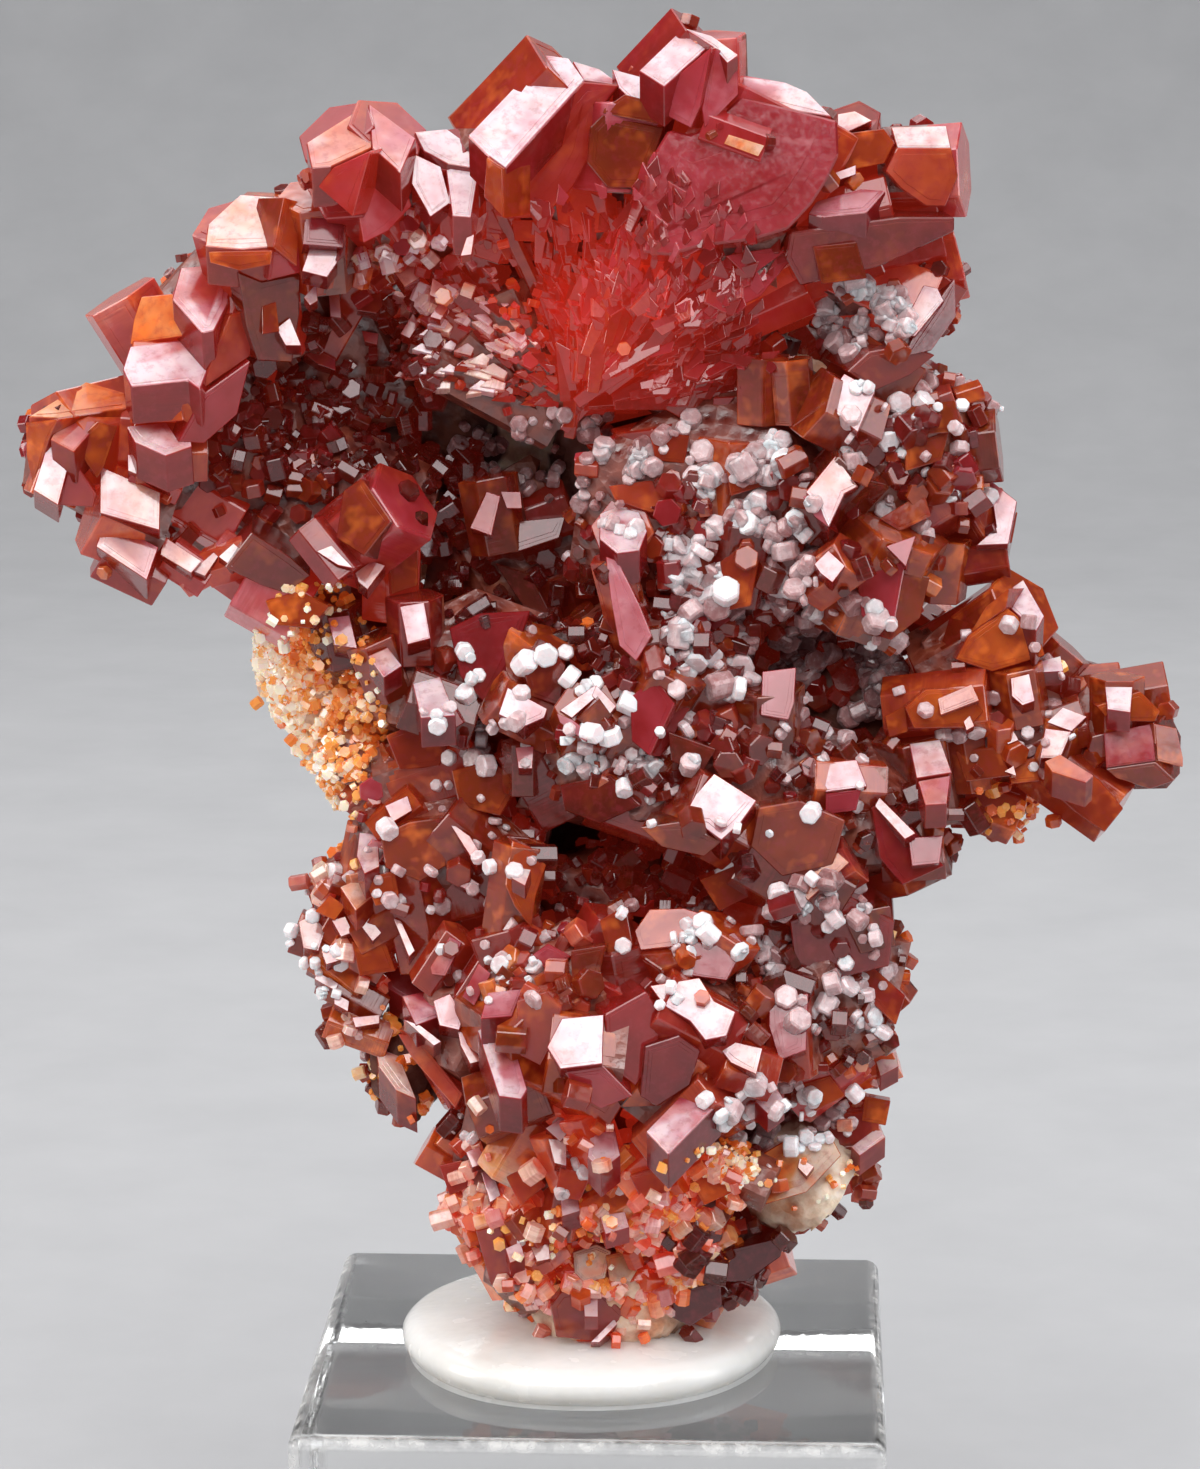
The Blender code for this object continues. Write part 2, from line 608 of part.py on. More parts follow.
def grown_cluster(fields, earlier_fields):
    """Crystals and beds that grew together, joined, less a gap round the rock and the rest."""
    crystals = []
    beds = []
    balls = []
    for field in fields:
        crystals += field_crystals(field)
        beds += bed_lumps(field)
        balls += [(sight(*row[:3]), max(row[3:])) for row in BED_LUMPS[field]]
    balls += [ball_round(crystal) for crystal in crystals]
    body = apply_boolean(beds[0], beds[1:] + [prism(*crystal) for crystal in crystals], "UNION")
    cutters = rock_lumps(LUMP_GAP)
    for field in earlier_fields:
        cutters += swollen_field(field, balls)
    return keep_main_body(apply_boolean(body, cutters, "DIFFERENCE"))


# ---------------------------------------------------------------- the whole
def build():
    for old in list(bpy.data.objects):
        bpy.data.objects.remove(old)
    putty = finish_material("milky_putty", (0.86, 0.85, 0.83), 0.18)
    rock = finish_material("matrix_rock", (0.80, 0.62, 0.45), 0.7)
    vanadinite = finish_material("vanadinite", (0.36, 0.05, 0.02), 0.12, ior=2.35)
    acrylic_block()
    mounting_putty(putty)
    lumps = rock_lumps()
    finish(keep_main_body(apply_boolean(lumps[0], lumps[1:], "UNION")), "matrix", rock)
    fields_made = []
    for name, fields in CLUSTERS.items():
        finish(grown_cluster(fields, fields_made), name, vanadinite)
        fields_made += fields


build()
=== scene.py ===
"""The finish of a vanadinite specimen on matrix, in putty on a clear acrylic block.

Large crystals are laid over the solids one by one, smaller ones are strewn over them field by
field, and the rock, the putty and the block get finer forms.  Lengths are in mm until a mesh is
made.  A place is (across, up): where its sight line from EYE meets the plane y = 0.
"""

import math
import random

import bmesh
import bpy
import numpy as np
from mathutils import Matrix, Vector, noise
from mathutils.bvhtree import BVHTree


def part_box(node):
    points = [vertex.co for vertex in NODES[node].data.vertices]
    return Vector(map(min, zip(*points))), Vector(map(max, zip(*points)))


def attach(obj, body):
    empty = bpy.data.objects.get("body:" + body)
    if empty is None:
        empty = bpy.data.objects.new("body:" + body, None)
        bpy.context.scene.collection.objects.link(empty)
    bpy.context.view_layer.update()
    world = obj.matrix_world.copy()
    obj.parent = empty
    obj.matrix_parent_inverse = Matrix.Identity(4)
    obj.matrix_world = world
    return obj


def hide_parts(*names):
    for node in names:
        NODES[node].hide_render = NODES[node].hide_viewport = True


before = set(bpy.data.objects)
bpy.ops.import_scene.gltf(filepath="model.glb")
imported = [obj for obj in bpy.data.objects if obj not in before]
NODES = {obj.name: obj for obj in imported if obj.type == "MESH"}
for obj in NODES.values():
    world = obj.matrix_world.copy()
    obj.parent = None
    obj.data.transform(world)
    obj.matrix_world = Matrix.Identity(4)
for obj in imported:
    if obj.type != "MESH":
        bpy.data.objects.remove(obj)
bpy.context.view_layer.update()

MM = 0.001
SEED = 7

# ---------------------------------------------------------------- where things are (mm)
# The eye, the way that most light comes from, how deep a crystal's root goes, and how far a
# crystal stands proud of its solid
EYE = Vector((13.0, -290.0, 127.5))
LIGHT_FROM = Vector((0.04, -0.86, 0.51))
ROOT = 1.6
PROUD = 0.12
COS30 = math.cos(math.pi / 6)

CRYSTAL_NODES = (
    "crown_crystals", "middle_crystals", "lower_crystals", "back_upper_crystals",
    "back_lower_crystals",
)

CAP = "cap"
SIDE = "side"
STUB = "stub"
DRUSE = "druse"
EMBER = "ember"
BED = "bed"
MIRROR = "front_box"
SKY = "sky_box"
LAMPS = {
    MIRROR: Vector((20.0, -370.0, 550.0)),
    SKY: Vector((0.0, 120.0, 700.0)),
}
UPPER_FROM = 72.0

# What is placed (the middle of the CAP or of the best lit SIDE face), across, up, depth,
# radius and length in mm, then in degrees: lean of the axis in the front plane (0 right,
# 90 up), tilt of its end towards the front, and turn away from the light about the axis.
CRYSTALS = {
    "wing": [
        (CAP, -35, 85.5, -3, 3.6, 9, 190, 40, 10),
        (CAP, -32, 88.25, -1, 2.4, 7, 125, 20, 0),
        (SIDE, -35.5, 83.75, -6, 1.7, 3.2, 250, 10, 0),
        (SIDE, -30.5, 82, -5, 3.5, 2.7, 156, 15, 0),
        (SIDE, -29.25, 84, -5, 1.2, 1.7, 158, 10, 0),
        (SIDE, -30.5, 78.75, -4, 2.2, 2.7, 152, 10, 0),
        (SIDE, -27.25, 78.25, -4, 1.3, 1.4, 146, 0, 0),
        (SIDE, -25.5, 78, -3.5, 1.1, 1.5, 30, 0, 0),
        (SIDE, -23.75, 78.5, -4, 1.3, 1.7, 20, 10, 5),
        (SIDE, -28.5, 86, -5.5, 2.2, 2.9, 180, 10, 0),
        (SIDE, -29, 88, -3, 2.7, 3.3, 175, 0, 30),
        (SIDE, -28, 90.75, -5, 3.2, 4.1, 178, 5, 4),
        (CAP, -25.25, 95.25, -3, 2.7, 8, 110, 45, 20),
        (SIDE, -28.5, 94, -2, 2.6, 4, 120, 5, 30),
        (CAP, -23, 100, -3, 3.1, 9, 100, 25, 0),
        (SIDE, -19.75, 98.75, -1, 2.6, 5, 85, 0, 30),
        (SIDE, -17.75, 98.75, -5.5, 2.4, 4.4, 92, 22, 8),
        (SIDE, -20.75, 78, -3, 3, 2.7, 150, 0, 30),
        (SIDE, -22.25, 76.75, -3, 1.8, 3.8, -35, 0, 8),
        (SIDE, -15.5, 80.25, -5, 2.9, 4.6, 40, 20, 14),
        (SIDE, -17.25, 78.25, -6, 1.3, 2.4, -50, 10, 0),
        (SIDE, -12.75, 77.25, -2, 2, 3.2, 88, 0, 30),
        (SIDE, -25, 83.5, 0, 2.6, 2.7, 150, 0, 30),
        (SIDE, -24.5, 88, 1, 2.4, 4, 120, 0, 25),
        (SIDE, -22.5, 92, 1, 2.2, 4, 100, 0, 20),
        (SIDE, -19.25, 87, 3, 2.6, 4, 80, 0, 25),
        (SIDE, -16.25, 94.75, 2, 2.4, 4, 60, 0, 20),
    ],
    "crest": [
        (CAP, -16.75, 105.75, -5, 2.7, 8, 118, 32, 0),
        (CAP, -13.5, 106, -5, 2.6, 8, 62, 32, 0),
        (CAP, -16.25, 102.25, -6, 2.3, 7, 110, 60, 20),
        (CAP, -10.25, 104.5, -5, 2, 6, 112, 38, 10),
        (CAP, -8.25, 104.25, -5, 1.6, 6, 78, 40, 20),
        (SIDE, -9.25, 101.75, -6, 1.9, 3, 92, 5, 0),
        (SIDE, -4, 106.5, -6, 3.8, 5.6, 45, 5, -32),
        (SIDE, -6.5, 101.75, -3, 3, 5, 70, 0, 20),
        (SIDE, 2.25, 108.5, -4, 1.9, 2, 60, 10, -10),
        (SIDE, 2, 105.5, -7, 3.1, 3.8, 86, -4, 10),
        (SIDE, 5.25, 110, -5, 2.7, 3.4, 46, 5, -34),
        (SIDE, 7.5, 108.75, -5, 2.5, 5.6, 92, 4, 14),
        (SIDE, 6.5, 102.5, -5.5, 5, 8, 62, -6, 16),
        (SIDE, 10.25, 103.25, -6.5, 6.2, 8.6, 64, -6, 20),
        (SIDE, 13.25, 103.75, -5, 3.8, 6, 60, -6, 16),
        (SIDE, 9.25, 105.25, -7.8, 1.4, 2.4, -20, 0, 30),
        (SIDE, 6.5, 98.25, -6, 3, 6, 36, 5, 10),
        (SIDE, 9, 97.25, -5, 2.7, 6, 30, 0, 15),
        (SIDE, 10.5, 95.5, -4, 2, 5, 25, 0, 10),
        (SIDE, 5.75, 95, -5, 2.1, 4.5, 40, 5, 15),
        (SIDE, 1.5, 96, -5, 2.8, 8, 75, 3, 6),
        (CAP, 16.25, 106.5, -2, 1.6, 5, 95, 45, 0),
        (SIDE, 16.75, 104.5, -3, 3.2, 3.6, 100, 0, 30),
        (SIDE, 21, 103.25, -4, 2.9, 3.4, 4, 10, 30),
        (SIDE, 15.75, 101.5, -5, 1.9, 5, 14, 0, 2),
        (SIDE, 17.25, 98.75, -3, 3.2, 9, 12, 0, 30),
        (SIDE, 19.5, 97, -2, 2.6, 7, 15, 0, 25),
        (SIDE, 14.75, 97.25, -3, 3, 6, 22, 0, 25),
        (SIDE, 20.25, 94.75, -3, 1.8, 5, 58, 0, 2),
        (CAP, 21.25, 94.25, -1, 3.6, 7, -20, 12, 10),
    ],
    "centre": [
        (SIDE, 16, 88.5, -7, 2.4, 2.7, 151, 22, 0),
        (SIDE, 18.25, 89.25, -4, 3.1, 5, 60, 0, 30),
        (SIDE, 15, 82.75, -7, 2.3, 4, 50, 15, 14),
        (SIDE, 12.75, 90, -5, 1.3, 2.4, 95, 0, 12),
        (SIDE, 21.25, 87.75, -3, 2, 3.4, 20, 0, 30),
        (SIDE, 22.5, 85.25, -3, 2.3, 6, 8, 5, 30),
        (CAP, 25.5, 81.25, -1, 2, 6, 20, 42, 0),
        (SIDE, 20.25, 81.25, -4, 2.6, 4.5, 35, 5, 25),
        (SIDE, 18.75, 76.75, -7, 3.5, 5.6, 66, 12, 30),
        (SIDE, 14.75, 78, -9, 1.7, 2.1, 40, 20, 0),
        (SIDE, 22.5, 78.25, -3, 1.8, 2.4, 85, 5, 10),
        (SIDE, 24.75, 78.5, -2, 1.5, 3, 10, 0, 20),
        (CAP, 1.5, 80.25, -5, 2, 6, 120, 62, 0),
        (SIDE, 4.75, 85, -3, 2.5, 4, 100, 0, 30),
        (SIDE, 9.25, 84, -5, 2.3, 3.6, 85, 0, 25),
        (SIDE, 9.5, 78.5, -6, 2.4, 3.6, 80, 5, 20),
        (SIDE, 2, 75, -7, 1.4, 6.5, 103, 8, 10),
        (SIDE, -6.75, 81.75, 0, 1.9, 3.2, 100, 0, 2),
        (SIDE, -4.25, 80.5, 2, 2.2, 5, 20, 0, 25),
        (CAP, -6.5, 71.25, -4, 3.1, 6, 112, 70, 0),
        (SIDE, -4, 70.5, -6, 2.2, 3.8, 70, 10, 30),
        (SIDE, -5, 68.75, -8, 1.8, 2.9, 150, 15, 0),
        (CAP, -0.75, 68.25, -9, 2.1, 5.5, 70, 52, 0),
        (SIDE, -5, 65, -7, 1.3, 1.7, 90, 0, 0),
        (SIDE, 3.25, 68, -9, 2.3, 5.6, 62, 10, 16),
        (SIDE, 7, 69, -7, 2.7, 4, 30, 0, 30),
        (SIDE, 11.5, 67, -8, 2.3, 4.6, 90, 8, 12),
        (SIDE, 7.75, 62, -11, 2.8, 3.3, 146, 22, 0),
        (SIDE, 15.75, 64, -9, 1.8, 2.9, 175, 8, 0),
        (SIDE, 13.5, 60, -9, 3.5, 5.4, 150, 0, 30),
        (SIDE, 14.5, 57.25, -10, 1.6, 4.3, 35, 8, 8),
        (SIDE, 20.25, 60.75, -6, 3.4, 5, 110, 0, 16),
        (SIDE, 21.25, 59, -7, 1.5, 2.4, 5, 0, 8),
        (SIDE, 11.25, 90, -4, 1.8, 2.6, 90, 0, 25),
        (SIDE, 6.5, 91, -3, 2, 4, 60, 0, 25),
        (SIDE, -17, 73.5, -2, 1.7, 2.2, 100, 5, 0),
        (SIDE, -12, 74, -4, 1.8, 2.6, 92, 5, 0),
        (SIDE, -14, 71.5, -4, 1.8, 2.4, 110, 8, 2),
        (SIDE, -10.75, 69.25, -6, 2.2, 3, 160, 5, 2),
        (SIDE, -2.5, 65, -6, 2.5, 4, 120, 0, 25),
        (SIDE, 2.75, 64, -8, 2.7, 4.6, 160, 0, 25),
        (SIDE, -0.5, 75.25, 2, 2.5, 5, 110, 0, 28),
        (SIDE, -5.25, 76.75, 5, 2.7, 6, 80, 0, 28),
    ],
    "arm": [
        (CAP, 27.5, 75.25, -2, 2.8, 8.5, 42, 32, 0),
        (SIDE, 25, 72.25, -3, 3.1, 5.5, 30, 0, 28),
        (SIDE, 27.5, 70, -5, 1.7, 2.1, 100, 5, 0),
        (SIDE, 22.5, 68.75, -6, 2.2, 5, 8, 8, 22),
        (SIDE, 21.5, 64.25, -6, 2.7, 4.2, 100, 8, 6),
        (SIDE, 30.25, 68, -4, 1.7, 2.3, 20, 0, 0),
        (SIDE, 29.75, 66.5, -4.5, 1.7, 2.2, 75, 5, 2),
        (SIDE, 33.75, 69.5, -4, 1.7, 1.9, 90, 0, 0),
        (SIDE, 34.75, 68.75, -1, 2.3, 4.5, 10, 0, 30),
        (SIDE, 34.5, 66.25, -4, 2.4, 3.4, 8, 25, 12),
        (SIDE, 31.5, 63.5, -5, 2.2, 4.8, -33, 15, 12),
        (SIDE, 24.5, 65.75, -5, 1.4, 2, 100, 0, 20),
        (SIDE, 26, 65.5, -4, 1.5, 2.2, 30, 0, 20),
        (SIDE, 29.25, 70.75, -1, 2, 4, 50, 0, 30),
        (SIDE, 31, 68.25, 1, 2.8, 6, 5, 0, 30),
        (SIDE, 25.5, 62.25, -3, 2, 4, -20, 0, 20),
    ],
    "flank": [
        (SIDE, -15.5, 58.5, -4, 1.6, 3.1, 78, 0, 0),
        (SIDE, -12.5, 58.75, -4, 3.8, 6, 195, 0, 30),
        (SIDE, -7.25, 60.5, -6, 2.8, 5, 140, 0, 25),
        (SIDE, -10.5, 55, -6, 2.6, 5, 100, 0, 30),
        (SIDE, -5.25, 56.25, -10, 1.7, 5.2, 82, 0, 16),
        (SIDE, -18.75, 53.25, -3, 1.5, 2.4, 160, 0, 4),
        (SIDE, -18, 55.75, -2, 1, 2, 110, 0, 0),
        (SIDE, -16.75, 54.75, -4, 1.3, 2, 60, 0, 0),
        (SIDE, -16.25, 52.5, -5, 1.3, 2.2, 150, 0, 0),
        (SIDE, -17.75, 51.25, -4, 1.2, 2.4, 140, 0, 0),
        (SIDE, -16.75, 49.5, -4, 1.2, 2.6, 150, 0, 0),
        (SIDE, -16.5, 47.25, -4, 1.3, 2.6, 160, 0, 10),
        (SIDE, -13.5, 54, -6, 1.6, 2.8, 30, 0, 20),
        (SIDE, -15.5, 55.75, -3, 1.7, 3, 40, 0, 25),
        (SIDE, -14, 63.25, -3, 1.9, 3, 50, 0, 15),
        (SIDE, -13, 61.75, -5, 1.4, 2, 40, 0, 0),
        (SIDE, -10.5, 63.75, -4, 2.9, 5, 20, 0, 25),
    ],
    "knob": [
        (CAP, -3.5, 45.75, -15, 3, 7, -10, 56, 0),
        (SIDE, -1.5, 46, -17, 2.9, 3.1, 172, 4, 0),
        (SIDE, 2.25, 46, -14, 3.2, 5.4, 72, 0, 30),
        (SIDE, 4.75, 43.5, -15, 2.4, 3.9, 50, 5, 26),
        (SIDE, 5.5, 41, -16, 1.8, 4.4, 45, 8, 2),
        (CAP, 4.75, 53, -11, 2.5, 8, 97, 36, 0),
        (SIDE, 7.5, 52, -12, 2.2, 2.6, 60, 5, 6),
        (SIDE, 6.25, 48, -15, 2.9, 4, 150, 8, 2),
        (SIDE, 9.5, 44.75, -15, 1.7, 1.9, 160, 10, 0),
        (SIDE, 12.5, 47, -12, 2.2, 3.8, 95, 0, 2),
        (SIDE, 18.25, 49.75, -7, 2.2, 4, -50, 5, 6),
        (SIDE, 16, 53, -6, 3.7, 6.4, 120, 0, 20),
        (SIDE, 11.5, 54.25, -8, 2.6, 4.4, 70, 0, 25),
        (SIDE, 0, 51.75, -11, 2.4, 4, 60, 0, 12),
        (SIDE, -4.25, 51.75, -10, 2.6, 4.4, 110, 0, 28),
        (SIDE, -10.25, 51.75, -9, 1.4, 2.6, 57, 5, 4),
        (SIDE, -8, 50, -10, 1.3, 2.6, 58, 5, 4),
        (CAP, -10, 47.75, -9, 1.2, 4, 105, 58, 0),
        (SIDE, -10, 43.5, -8, 2.1, 4.4, -60, 0, 28),
        (SIDE, -5.25, 41.5, -13, 2.4, 3.4, 20, 0, 30),
        (SIDE, -0.75, 42.5, -14, 2.6, 4.4, -30, 0, 28),
        (SIDE, 9.75, 42, -13, 1.9, 2.4, 30, 0, 25),
        (SIDE, 15.25, 43.75, -9, 2.1, 3.4, 40, 0, 25),
        (SIDE, 18.25, 44.75, -5, 1.6, 2.4, 20, 0, 20),
        (SIDE, 17.25, 40.25, -5, 1.8, 2.4, 10, 0, 10),
        (SIDE, 2.75, 50, -12, 3.4, 4.4, 100, 0, 25),
    ],
    "foot": [
        (SIDE, -7, 30.5, -5, 1.6, 4.6, -60, 5, 16),
        (SIDE, -1.5, 27.75, -8, 2.5, 4.2, -84, 0, 30),
        (SIDE, -0.5, 27.5, -8.5, 1.7, 1.7, 88, 0, 0),
        (SIDE, 3.25, 26.75, -7, 1.4, 2.2, -80, 0, 12),
        (SIDE, 10.25, 31, -4, 2.4, 4.2, 20, 0, 26),
        (SIDE, 6.5, 27.75, -5, 2, 3.2, -30, 0, 26),
        (SIDE, -7, 36.25, -9, 1.3, 2.8, 80, 0, 2),
        (SIDE, -2.25, 34.75, -12, 1.5, 2, 80, 0, 4),
        (SIDE, -2.75, 38.25, -13, 1.2, 2.3, 110, 5, 0),
        (SIDE, -6.75, 34.5, -9, 1.2, 1.8, 60, 0, 0),
        (SIDE, 1.25, 35.25, -13, 1.5, 2.2, 30, 0, 8),
        (SIDE, -4, 33, -11, 1.7, 2.4, 120, 0, 20),
        (SIDE, -10, 38.5, -7, 1.5, 2.6, 150, 0, 20),
        (SIDE, -9, 35.5, -7, 1.3, 2.2, 170, 0, 20),
        (SIDE, -4.75, 38.75, -12, 1.8, 3, 60, 0, 26),
        (SIDE, 0, 39.5, -14, 1.7, 2.6, 110, 0, 12),
        (SIDE, 3.75, 37.5, -14, 1.7, 2.4, 40, 0, 22),
        (SIDE, -5.25, 29, -7, 1.3, 2.2, -120, 0, 25),
        (SIDE, 15.25, 36.75, -6, 1.3, 2, 20, 0, 10),
        (SIDE, 12.75, 34.5, -6, 1.2, 2, -20, 0, 10),
        (SIDE, -8, 39.75, -8, 1.8, 3, 140, 0, 28),
        (SIDE, 6, 32.25, -9, 1.3, 2.2, 60, 0, 20),
    ],
}

